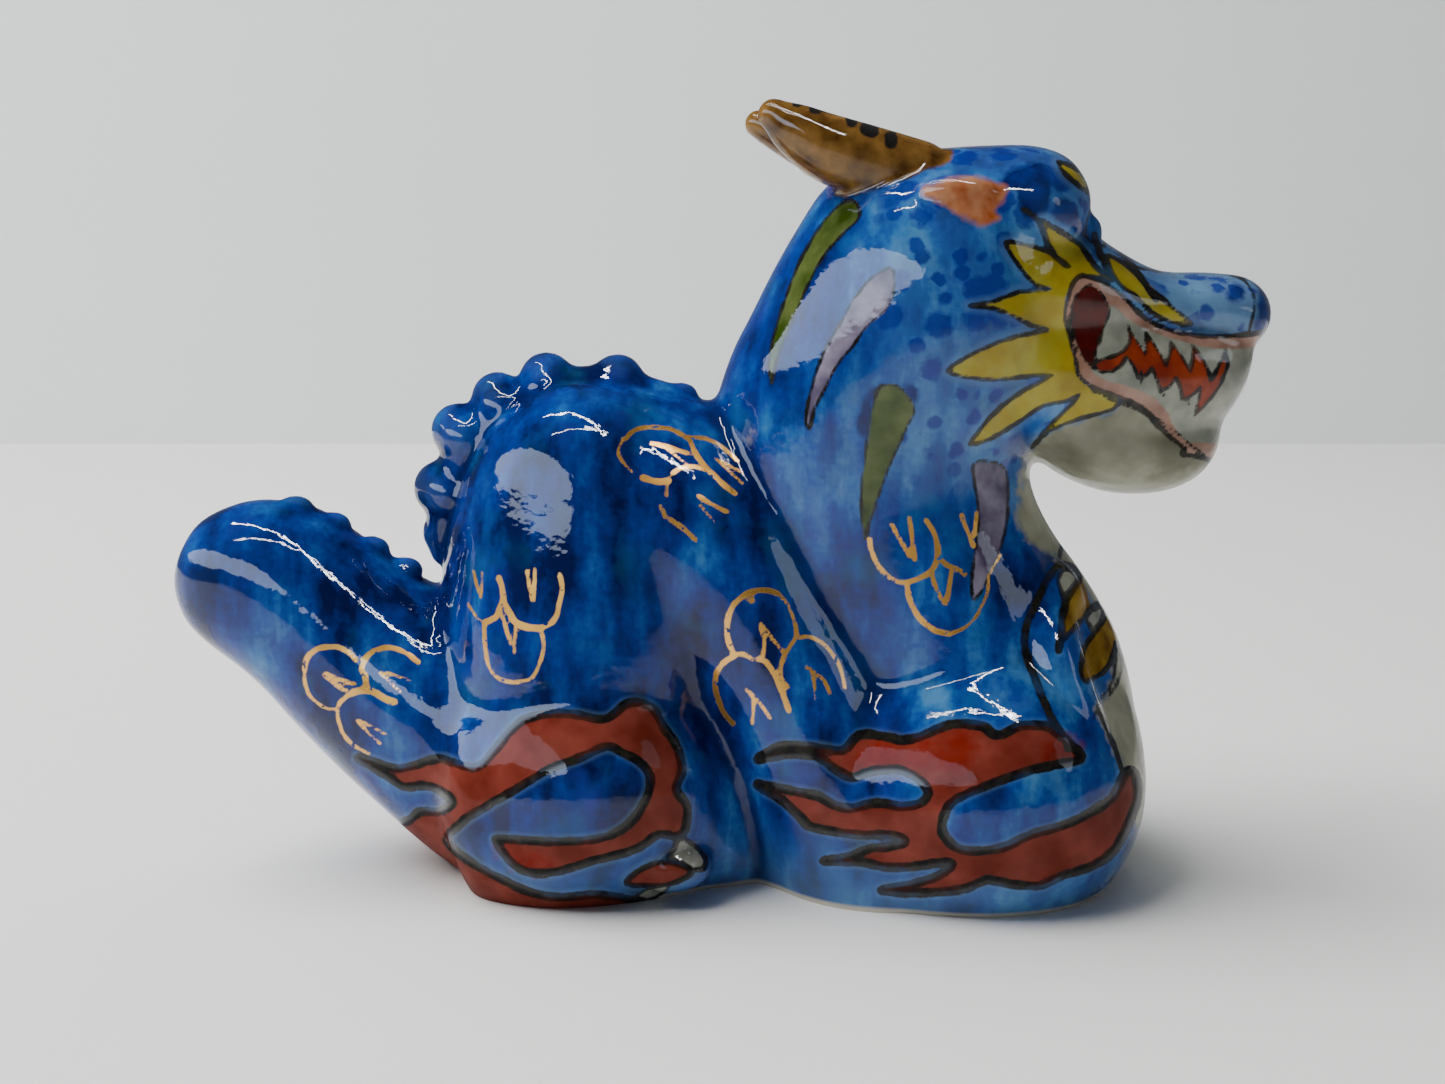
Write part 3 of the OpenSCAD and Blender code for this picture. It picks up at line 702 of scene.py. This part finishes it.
class Skin:
    """Remembers the paint and the normals of the whole skin for the vertices that cuts make."""

    def __init__(self, obj):
        mesh = obj.data
        self.co = read(mesh.vertices, "co", 3)
        self.faces = [tuple(face.vertices) for face in mesh.polygons]
        self.tree = BVHTree.FromPolygons(self.co.tolist(), self.faces)
        self.fields = [a.name for a in mesh.attributes if a.domain == "POINT" and a.data_type == "FLOAT"]
        self.values = self.layers(mesh)

    def layers(self, mesh):
        """Every field and the skin's normal, with a row for each vertex."""
        data = mesh.attributes
        return np.column_stack([read(data[name].data, "value", 1, np.float32) for name in self.fields]
                               + [read(data["skin_normal"].data, "vector", 3, np.float32)])

    def mend(self, obj):
        """Paints the vertices along the cuts like the skin around them, and shades by its normals."""
        mesh = obj.data
        values = self.layers(mesh)
        for i in np.nonzero(values[:, self.fields.index("whole")] < 0.9999)[0]:
            spot, _, index, gap = self.tree.find_nearest(mesh.vertices[i].co)
            if gap > ON_SKIN * MM:
                continue
            corners = self.faces[index]
            share = np.array(poly_3d_calc([Vector(self.co[k]) for k in corners], spot))
            values[i] = share @ self.values[list(corners)]
        for k, name in enumerate(self.fields):
            mesh.attributes[name].data.foreach_set("value", np.ascontiguousarray(values[:, k], np.float32))
        mesh.shade_smooth()
        count = read(mesh.polygons, "loop_total", 1, np.int32)
        flat = np.repeat(read(mesh.polygons, "normal", 3, np.float32), count, axis=0)
        sliver = np.repeat(read(mesh.polygons, "area", 1, np.float32) < SLIVER, count)
        wanted = values[read(mesh.loops, "vertex_index", 1, np.int32), -3:]
        length = np.linalg.norm(wanted, axis=1)
        wanted /= np.maximum(length, 1e-6)[:, None]
        on_skin = (length > 0.5) & (sliver | ((wanted * flat).sum(1) > 0.3))
        mesh.normals_split_custom_set(np.where(on_skin[:, None], wanted, flat).tolist())
        for name in ("skin_normal", "whole"):
            mesh.attributes.remove(mesh.attributes[name])


def relief(mesh, rounds):
    """How far each vertex stands out of the smoothed skin, in millimetres."""
    n = len(mesh.vertices)
    co, normal = read(mesh.vertices, "co", 3), read(mesh.vertices, "normal", 3)
    a, b = read(mesh.edges, "vertices", 2, int).T
    count = np.bincount(np.append(a, b), minlength=n)[:, None]
    s = co
    for _ in range(rounds):
        near = [np.bincount(a, s[b, k], n) + np.bincount(b, s[a, k], n) for k in range(3)]
        s = np.column_stack(near) / count
    return ((co - s) * normal).sum(1) / MM


def paint(skin):
    p = Paint(skin)
    x, y, z = p.v[:, 0], np.abs(p.v[:, 1]), p.v[:, 2]
    # round the muzzle the mouth is drawn by its unrolled length, and its teeth are
    # drawn back over the front
    rows = np.array(MOUTH)
    widest = rows[0, 4]
    unrolled = x + widest - y
    drawn_x = np.linspace(rows[0, 2], rows[-1, 2], 60)
    half = np.interp(drawn_x, rows[:, 2], rows[:, 4])
    length = drawn_x + widest - half
    shown = drawn_x * (HEAD_PLANE - EYE_Y) / (-half - EYE_Y)
    head_x, head_z = p.plane["head"].T
    front = np.interp(unrolled, length, shown) - np.maximum(unrolled - length[-1], 0) * 0.8
    p.plane["mouth"] = np.column_stack([np.where(x > 55, front, head_x), head_z])

    def away(spot):
        return np.linalg.norm(np.column_stack([x, y, z]) - spot, axis=1)

    p.fill("red", "body", RED_REAR, 1.5)
    p.fill("red", "body", RED_FRONT, 1.6)
    p.fill_all("deep", "body", DEEP_RED)
    belly = np.interp(z, [0, 8, 25, 45, 58, 70], [5, 12, 15, 11, 8, 8]) - y
    p.raise_to("cream", np.where((x > CREAM_BACK) & (z < CREAM_TOP), belly, -FADE))
    p.fill("cream", "body", BELLY_SIDE, steps=1)
    p.keep("cream", x > CREAM_BACK)
    p.fill("cream", "head", CHIN)
    p.fields["cream"] = np.where(z < CREAM_TOP, p.fields["cream"], np.minimum(p.fields["cream"], 3))
    arm = curve(ARM, True)
    hit = p.near("body", arm)
    q = p.plane["body"][hit]
    d = distance(q, arm)
    p.fields["cream"][hit] = np.minimum(p.fields["cream"][hit],
                                        np.where(y[hit] > 6, np.where(inside(q, arm), -d, d), FADE))
    # The belly field is a paler copy of the cream below z = 66: painted light on the belly, which lies in shade,
    # while the darker cream of the chin and throat is painted shade.
    p.fields["belly"] = np.minimum(p.fields["cream"], (66 - z) * 0.5)
    p.fill_all("khaki", "body", PADS)
    p.fill_all("white", "body", CLAWS, 0.7)
    p.keep("white", y > 5)
    p.keep("khaki", y > 5)
    p.fill("white", "body", CLAW_HIND, 0.9)
    p.fill("white", "body", HEEL_HIND, 0.5)
    p.fill("red", "body", PAD_HIND, 0.9)
    p.stroke_all("ink", "body", PAW_LINES)

    p.fill_all("yellow", "head", YELLOW, 0.7, 2)
    p.fill_all("green", "head", GREEN, 0.5)
    p.fill_all("mauve", "head", MAUVE, 0.5)
    p.fill("peach", "head", PEACH)
    p.fill_all("dark", "head", DARK_DABS)
    p.fill("lips", "mouth", MOUTH_OUTLINE, 0.8)
    p.fill("teeth", "mouth", TEETH)
    p.fill("gap", "mouth", GAP, 0.65, 1)
    p.fill("maroon", "mouth", MAROON, 0.5)
    p.stroke_all("ink", "head", FACE_LINES)
    p.stroke_all("gold", "body", GOLD)
    p.stroke_all("band", "head", HORN_BANDS)
    for name in ("lips", "teeth", "gap", "maroon"):
        p.keep(name, x > MOUTH_BACK)
    p.keep("peach", y > 9)
    for side, horn in HORNS.items():
        rows = smooth_rows(horn, 6)
        v = p.v * (1, side, 1)
        d = np.full(p.n, 1e9)
        for a, b in zip(rows[:-1], rows[1:]):
            ab = b[:3] - a[:3]
            t = np.clip(((v - a[:3]) @ ab) / (ab @ ab), 0, 1)
            reach = a[3] + (b[3] - a[3]) * t
            d = np.minimum(d, np.linalg.norm(v - a[:3] - t[:, None] * ab, axis=1) - reach)
        p.raise_to("amber", np.where(v[:, 1] > 0, 0.7 - d, -FADE))
    p.keep("band", (p.fields["amber"] > 0.2) & (z > 115))
    lid = away(EYE[0]) - EYE[1][0] - 0.9
    p.raise_to("yellow", np.minimum(-lid, 8.4 - y))
    p.raise_to("ink", np.maximum(2.3 - away(PUPIL), 0.35 - np.abs(lid)))
    p.raise_to("ink", 1.7 - away(NOSTRIL))
    normals = read(skin.data.vertices, "normal", 3, np.float32).ravel()
    skin.data.attributes.new("skin_normal", "FLOAT_VECTOR", "POINT").data.foreach_set("vector", normals)
    p.raise_to("relief", relief(skin.data, 32) * 4)
    p.raise_to("dabs", np.interp(z, [54, 74], [-3, 2]) - 0.35 * np.maximum(30 - x, 0))
    # The pale field makes the neck and head paler and the hump darker; its rise in the lowest 14 mm is a painted
    # reflection of the pale table on the foot.
    p.raise_to("pale", np.interp(x + 0.3 * (z - 60), [-20, 8, 35], [-3, -1.5, 2.5])
               + np.interp(z, [0, 14], [3, 0]))
    p.fields["whole"] = np.ones(p.n)
    p.write()


# ---- separate pieces

def part_of(obj, cutter, name):
    """Cuts cutter's share out of obj as a new piece; obj keeps the rest."""
    piece = copy_of(obj, name)
    combine(piece, cutter, "INTERSECT")
    combine(obj, cutter, "DIFFERENCE")
    return piece


def cut_by(obj, name, *solids):
    cutter = union("cutter", *solids)
    piece = part_of(obj, cutter, name)
    drop(cutter)
    return piece


def pieces_of(skin, core):
    """Splits the skin into the luted clay pieces, by the names of their CAD nodes."""
    out = {}
    crest_cut = union("crest_cut", tube(RIDGE, 1, 1.2, KEEL_FLAT), *knob_eggs(CUT_MARGIN))
    combine(crest_cut, core, "DIFFERENCE")
    details_cut = union("details_cut", *detail_solids(CUT_MARGIN))
    combine(details_cut, core, "DIFFERENCE")
    crest = part_of(skin, crest_cut, "back_ridge")
    details = part_of(skin, details_cut, "details")
    drop(crest_cut)
    drop(details_cut)
    drop(core)

    for kind, knobs in (("back_knob_", BACK_KNOBS), ("tail_knob_", TAIL_KNOBS)):
        for i, row in enumerate(knobs, 1):
            out[f"{kind}{i}"] = cut_by(crest, f"{kind}{i}", knob(*row, CUT_MARGIN))
    out["back_ridge"] = crest
    for label, side in SIDES:
        solids = paired(side, PAIRED_MARGIN)
        for name in ("forepaw", "forearm", "hind_paw", "ear", "eye", "horn"):
            key = name + "_" + label
            out[key] = cut_by(details, key, solids[name])
    drop(details)

    out["floor"] = cut_by(skin, "floor", slab(-5, FLOOR_T))
    turn = np.linspace(0, 2 * math.pi, 48, endpoint=False)
    bore = np.array([[[VENT_X + VENT_R * math.cos(a), VENT_R * math.sin(a), h] for a in turn] for h in (-5, 9)])
    carve(out["floor"], "DIFFERENCE", rings_mesh(bore))
    for label, side in SIDES:
        beside = prism([[-150, FLOOR_T], [150, FLOOR_T], [150, 150], [-150, 150]],
                       side * LEG_PLANE, side * 150)
        for name, rows in (("hind_leg_", HAUNCH), ("foreleg_", CHEST_LOBE)):
            cutter = carve(make("cutter", loft(rows, grow=1.0)), "INTERSECT", beside)
            carve(cutter, "DIFFERENCE", loft(HUMP), loft(FLANK), loft(NECK))
            out[name + label] = part_of(skin, cutter, name + label)
            drop(cutter)
    out["head"] = cut_by(skin, "head", prism(HEAD_SIDE))
    out["lower_jaw"] = cut_by(out["head"], "lower_jaw", prism(JAW_SIDE))
    out["nose"] = cut_by(out["head"], "nose", prism(NOSE_SIDE))
    out["front_body"] = cut_by(skin, "front_body", prism(FRONT_SIDE))
    out["tail"] = cut_by(skin, "tail", prism(TAIL_SIDE))
    skin.name = "rear_body"
    out["rear_body"] = skin
    hollow = [loft(rows, inset=WALL, steps=4, sides=40) for rows in (HUMP, FLANK, NECK, TAIL)]
    cavity = union("cavity", *hollow)
    for name in ("rear_body", "front_body", "head", "tail"):
        combine(out[name], cavity, "DIFFERENCE")
    drop(cavity)
    return out


# ---- glazes

def srgb(code):
    """Linear colour of a hex code."""
    parts = [int(code[i:i + 2], 16) / 255 for i in (1, 3, 5)]
    return (*[c / 12.92 if c <= 0.04045 else ((c + 0.055) / 1.055) ** 2.4 for c in parts], 1)


class Shader:
    """A node material, with short words for the nodes that it uses."""

    def __init__(self, name):
        self.material = bpy.data.materials.new(name)
        self.material.use_nodes = True
        self.tree = self.material.node_tree
        self.surface = self.tree.nodes["Principled BSDF"]
        self.place = self.node("TexCoord").outputs["Object"]

    def put(self, node, values):
        """Sets or links inputs of a node."""
        for name, value in values.items():
            if isinstance(value, bpy.types.NodeSocket):
                self.tree.links.new(value, node.inputs[name])
            else:
                node.inputs[name].default_value = value

    def node(self, kind, values={}):
        node = self.tree.nodes.new("ShaderNode" + kind)
        self.put(node, values)
        return node

    def field(self, name):
        node = self.node("Attribute")
        node.attribute_name = name
        return node.outputs["Fac"]

    def axis(self, name):
        return self.node("SeparateXYZ", {"Vector": self.place}).outputs[name]

    def math(self, operation, a, b=0.0, clamp=False):
        node = self.node("Math", {0: a, 1: b})
        node.operation = operation
        node.use_clamp = clamp
        return node.outputs[0]

    def moved(self, place, scale):
        return self.node("Mapping", {"Location": place, "Scale": scale, "Vector": self.place}).outputs[0]

    def noise(self, size, detail=3.0, stretch=(1, 1, 1), seed=0.0):
        """Noise from 0 to 1 with features of about that many millimetres."""
        spot = self.moved((seed, seed * 0.7, -seed), tuple(1000 / size / s for s in stretch))
        return self.node("TexNoise", {"Scale": 1.0, "Detail": detail, "Vector": spot}).outputs["Fac"]

    def dabs(self, size, radius, share, seed):
        """Round dabs in a share of cells of about that size; radius is a share of the cell."""
        spot = self.moved((seed, -seed, seed * 0.3), (1000 / size,) * 3)
        cells = self.node("TexVoronoi", {"Scale": 1.0, "Vector": spot}).outputs
        draw = self.node("SeparateColor", {"Color": cells["Color"]})
        wobble = self.span(self.noise(1.5, 2, seed=seed), 0.3, 0.7, -0.08, 0.08)
        reach = self.math("ADD", cells["Distance"], wobble)
        return self.math("MULTIPLY", self.span(reach, radius + 0.07, radius - 0.07),
                         self.math("LESS_THAN", draw.outputs[0], share))

    def span(self, value, low, high, out_low=0.0, out_high=1.0):
        """Maps low to high onto another range, and levels off beyond."""
        return self.node("MapRange", {"Value": value, "From Min": low, "From Max": high,
                                      "To Min": out_low, "To Max": out_high}).outputs["Result"]

    def mix(self, share, a, b):
        a, b = [srgb(color) if isinstance(color, str) else color for color in (a, b)]
        node = self.node("Mix")
        node.data_type = "RGBA"
        self.put(node, {"Factor": share, "A": a, "B": b})
        return node.outputs["Result"]

    def edge(self, name, soft, wobble, seed=0.0):
        """Share of a paint: its field, with a hand-drawn edge of that softness in millimetres."""
        shake = self.span(self.noise(2.2, 2, seed=seed), 0.3, 0.7, -wobble, wobble)
        return self.span(self.math("ADD", self.field(name), shake), -soft / 2, soft / 2)

    def wash(self, below, name, soft, wobble, deep, pale, size=4.0, seed=0.0, cover=1.0):
        """Lays a paint that varies between two colours over what is below it."""
        tone = self.span(self.noise(size, 3, seed=seed + 3), 0.35, 0.65)
        share = self.edge(name, soft, wobble, seed)
        if cover < 1:
            worn = self.span(self.noise(3, 2, seed=seed + 5), 0.3, 0.7, cover, 1.0)
            share = self.math("MULTIPLY", share, worn)
        return self.mix(share, below, self.mix(tone, deep, pale))

    def bump(self, strength, depth, height):
        """Surface relief of that depth in metres."""
        return self.node("Bump", {"Strength": strength, "Distance": depth, "Height": height}).outputs["Normal"]


def brushed_blue(s):
    """Cobalt brushed on in streaks, thin on the ridges and dark where it ran together, with a painted reflection
    of the pale table near the foot.
    """
    streaks = s.noise(4.2, 4, (1, 1.4, 3.6))
    patches = s.noise(13, 3, (1, 1, 1.6), 4)
    grain = s.noise(1.1, 2, seed=9)
    tone = s.math("ADD", s.math("MULTIPLY", streaks, 0.45), s.math("MULTIPLY", patches, 0.45))
    tone = s.math("ADD", tone, s.math("MULTIPLY", grain, 0.1))
    tone = s.math("ADD", tone, s.span(s.field("pale"), -3, 3, -0.05, 0.05))
    color = "#000F48"
    for low, high, paler in ((0.38, 0.48, "#002B80"), (0.48, 0.57, "#084E9C"), (0.55, 0.68, "#4A84B6")):
        color = s.mix(s.span(tone, low, high), color, paler)
    teal = s.span(s.noise(9, 2, seed=21), 0.56, 0.72, 0, 0.35)
    color = s.mix(teal, color, "#08608C")
    plum = s.span(s.noise(8, 2, seed=33), 0.6, 0.75, 0, 0.5)
    color = s.mix(plum, color, "#22318E")
    bridge = s.math("MULTIPLY", s.span(s.axis("X"), 0.06, 0.072, 0, 0.5), s.span(s.axis("Z"), 0.08, 0.088))
    color = s.mix(bridge, color, "#6F8C98")
    # paler grey-blue towards the foot: a painted reflection of the pale table
    low = s.span(s.axis("Z"), 0.014, 0.003, 0, 0.3)
    color = s.mix(s.math("MULTIPLY", low, s.span(patches, 0.35, 0.6, 0.5, 1)), color, "#6E9CC0")
    # round dabs of stronger cobalt over the cheeks and the crown
    dab = s.math("MAXIMUM", s.dabs(5.2, 0.42, 0.55, 3), s.dabs(3.0, 0.42, 0.4, 11))
    here = s.span(s.field("dabs"), -2, 1)
    ground = s.mix(s.math("MULTIPLY", here, 0.12), color, "#6D9CC8")
    color = s.mix(s.math("MULTIPLY", s.math("MULTIPLY", dab, here), 0.8), ground, "#001E82")
    color = s.wash(color, "dark", 0.9, 0.4, "#00104E", "#002478", 3, 2)
    thin = s.span(s.field("relief"), 0.55, 1.8, 0, 0.1)
    color = s.mix(thin, color, "#6C8CC8")
    pool = s.span(s.field("relief"), -0.5, -1.8, 0, 0.75)
    return s.mix(pool, color, "#000F48")


# paint, softness and wobble of its edge, its two colours, size of its cloudiness, seed, least cover
WASHES = [
    # cream and belly are one cream glaze in two copies: the darker cream is painted shade on the chin and throat,
    # the paler belly copy is painted light on the shaded belly
    ("cream", 1.5, 0.5, "#6E6D5A", "#94937F", 9, 1),
    ("belly", 1.5, 0.5, "#8A8974", "#ACAB97", 9, 1),
    ("khaki", 0.4, 0.15, "#6A4A0C", "#947628", 5, 2),
    ("white", 0.3, 0.1, "#86887A", "#A2A294", 4, 3),
    ("red", 0.3, 0.15, "#66251A", "#853D32", 7, 4),
    ("deep", 2.5, 1.0, "#6E1004", "#7E1A0A", 4, 5, 0.4),
    ("yellow", 0.5, 0.2, "#9A8406", "#A69A30", 5, 6),
    ("green", 0.4, 0.2, "#2E400C", "#586432", 5, 7),
    ("mauve", 0.4, 0.2, "#483C58", "#8C8498", 6, 8),
    ("peach", 0.9, 0.3, "#9A4818", "#C08660", 4.5, 9),
    ("lips", 0.3, 0.1, "#8A6654", "#A88474", 4, 10),
    ("teeth", 0.3, 0.1, "#7C8074", "#9C9C8E", 4, 11),
    ("gap", 0.25, 0.05, "#7A2208", "#983812", 4, 12),
    ("maroon", 0.3, 0.05, "#360402", "#560E06", 4, 13),
    ("amber", 0.6, 0.3, "#4A2E0C", "#8C6630", 4.5, 14),
    ("band", 0.3, 0.1, "#1C1A18", "#262422", 3, 15),
]


def glaze(name):
    """A clear glossy glaze over the painted pattern, duller where the iron red lies thick."""
    s = Shader(name)
    halo = s.math("MAXIMUM", s.field("red"), s.field("yellow"))
    color = s.mix(s.span(halo, -1.5, -0.7, 0, 0.22), brushed_blue(s), "#6E98B8")
    color = s.mix(s.span(s.axis("Z"), 0.0011, 0.0005), color, "#C9C2B0")
    for row in WASHES:
        color = s.wash(color, *row)
    pressure = s.span(s.noise(6, 2, seed=40), 0.35, 0.65, -0.25, 0.15)
    line = s.math("ADD", s.edge("ink", 0.22, 0.12, 16), pressure, True)
    ink = s.mix(s.span(s.noise(1.6, 2, seed=41), 0.4, 0.7), "#141314", "#28261F")
    color = s.mix(line, color, ink)
    gold = s.math("MULTIPLY", s.edge("gold", 0.16, 0.1, 17), s.span(s.noise(1.3, 2, seed=50), 0.30, 0.36))
    dull = s.span(s.math("MAXIMUM", s.field("red"), s.field("khaki")), -0.3, 0.3, 1, 0.22)
    height = s.math("ADD", s.noise(6, 3, seed=70), s.math("MULTIPLY", s.noise(1.1, 3, seed=71), 0.1))
    normal = s.bump(0.35, 0.0004, height)
    s.put(s.surface, {
        "Base Color": s.mix(gold, color, "#E0A84E"),
        "Metallic": s.math("MULTIPLY", gold, 0.85),
        "Roughness": s.span(s.noise(7, 2, seed=60), 0.3, 0.7, 0.24, 0.38),
        "Coat Weight": s.math("MULTIPLY", dull, s.span(s.field("cream"), -0.3, 0.3, 1, 0.6)),
        "Coat Roughness": 0.03, "Coat IOR": 1.43, "Specular IOR Level": 0.0,
        "Normal": normal, "Coat Normal": normal})
    return s.material


def bisque():
    """Matte unglazed clay, with grit and faint kiln marks."""
    s = Shader("bare_clay")
    color = s.mix(s.span(s.noise(14, 4), 0.35, 0.65), "#CFC6B4", "#E2DCCE")
    grit = s.span(s.noise(0.8, 2, seed=5), 0.66, 0.74, 0, 0.6)
    s.put(s.surface, {
        "Base Color": s.mix(grit, color, "#8C7B66"),
        "Roughness": s.span(s.noise(3, 3, seed=6), 0.3, 0.7, 0.75, 0.9),
        "Normal": s.bump(0.5, 0.0002, s.noise(0.7, 3, seed=7))})
    return s.material


SLOTS = {
    "horn": "amber_glaze", "forepaw": "amber_glaze", "ear": "peach_glaze", "eye": "black_glaze",
    "lower_jaw": "bone_glaze", "hind_paw": "bone_glaze", "hind_leg": "red_and_blue_glaze",
    "foreleg": "red_and_blue_glaze", "floor": "bare_clay",
}
FINISHES = {color + "_glaze": glaze(color + "_glaze")
            for color in ("blue", "red_and_blue", "amber", "peach", "black", "bone")}
FINISHES["bare_clay"] = bisque()

skin, core = sculpt()
paint(skin)
master = Skin(skin)
for name, piece in pieces_of(skin, core).items():
    slot = next((SLOTS[start] for start in SLOTS if name.startswith(start)), "blue_glaze")
    piece.data.materials.clear()
    piece.data.materials.append(FINISHES[slot])
    master.mend(piece)
    if name == "floor":
        piece.data.materials.append(FINISHES["red_and_blue_glaze"])
        for face in piece.data.polygons:
            face.material_index = 0 if abs(face.normal.z) > 0.8 else 1
    piece.name = name + "_fired"
    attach(piece, "root")
    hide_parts(name)


def plain(name, color, rough):
    m = bpy.data.materials.new(name)
    m.use_nodes = True
    b = m.node_tree.nodes["Principled BSDF"]
    b.inputs["Base Color"].default_value = (*color, 1)
    b.inputs["Roughness"].default_value = rough
    return m


def studio():
    """A pale table and wall under a wide soft lamp, with a window and a ceiling tube to reflect."""
    scene = bpy.context.scene
    world = bpy.data.worlds.new("room")
    world.use_nodes = True
    tree = world.node_tree
    where = tree.nodes.new("ShaderNodeTexCoord")
    parts = tree.nodes.new("ShaderNodeSeparateXYZ")
    tree.links.new(where.outputs["Generated"], parts.inputs[0])
    fall = tree.nodes.new("ShaderNodeMapRange")
    fall.interpolation_type = "SMOOTHSTEP"
    for socket, number in zip(("From Min", "From Max", "To Min", "To Max"), (-0.05, 0.5, 0.2, 0.06)):
        fall.inputs[socket].default_value = number
    tree.links.new(parts.outputs["Z"], fall.inputs["Value"])
    tree.links.new(fall.outputs["Result"], tree.nodes["Background"].inputs["Strength"])
    tree.nodes["Background"].inputs["Color"].default_value = (0.78, 0.86, 1, 1)
    scene.world = world
    # name, place, size, power, colour, outline and what the lamp lights
    for name, where, size, power, tint, shape, shows in (
        ("ceiling", (-0.58, 0.22, 1.1), (1.6, 0.9), 43, (1, 0.99, 0.97), "RECTANGLE", "diffuse"),
        ("window", (-0.78, -0.52, 0.50), (1.9, 0.38), 14.4, (0.67, 0.80, 1), "ELLIPSE", "glossy"),
        ("tube", (-0.1, -0.12, 0.95), (1.3, 0.022), 9, (1, 1, 1), "RECTANGLE", "glossy"),
        ("second_tube", (-0.05, -0.36, 0.9), (0.9, 0.02), 4, (1, 1, 1), "RECTANGLE", "glossy"),
        ("side_window", (0.9, -0.45, 0.5), (0.3, 0.4), 0.8, (0.8, 0.9, 1), "ELLIPSE", "glossy"),
    ):
        light = bpy.data.lights.new(name, "AREA")
        light.shape = shape
        light.size, light.size_y = size
        light.energy = power
        light.color = tint
        lamp = bpy.data.objects.new(name, light)
        lamp.location = where
        lamp.rotation_euler = (Vector((0, 0, 0.05)) - Vector(where)).to_track_quat("-Z", "Y").to_euler()
        lamp.visible_diffuse = shows == "diffuse"
        lamp.visible_glossy = shows == "glossy"
        scene.collection.objects.link(lamp)
    half, back, top = 8, 0.54, 2
    for name, color, corners in (
        ("table", (0.9, 0.905, 0.895), [(-half, -half, 0), (half, -half, 0), (half, back, 0), (-half, back, 0)]),
        ("wall", (0.93, 0.945, 0.95), [(-half, back, 0), (half, back, 0), (half, back, top), (-half, back, top)]),
    ):
        mesh = bpy.data.meshes.new(name)
        mesh.from_pydata(corners, [], [(0, 1, 2, 3)])
        mesh.materials.append(plain(name, color, 0.6))
        obj = bpy.data.objects.new(name, mesh)
        scene.collection.objects.link(obj)
        obj.visible_glossy = name == "table"
    cam = bpy.data.cameras.new("camera")
    cam.lens = 52
    cam.sensor_width = 36
    eye = bpy.data.objects.new("camera", cam)
    eye.location = (CENTRE_SHIFT * MM, -0.33779, 0.11256)
    eye.rotation_euler = (math.radians(80), 0, 0)
    scene.collection.objects.link(eye)
    scene.camera = eye


studio()
bpy.context.view_layer.update()
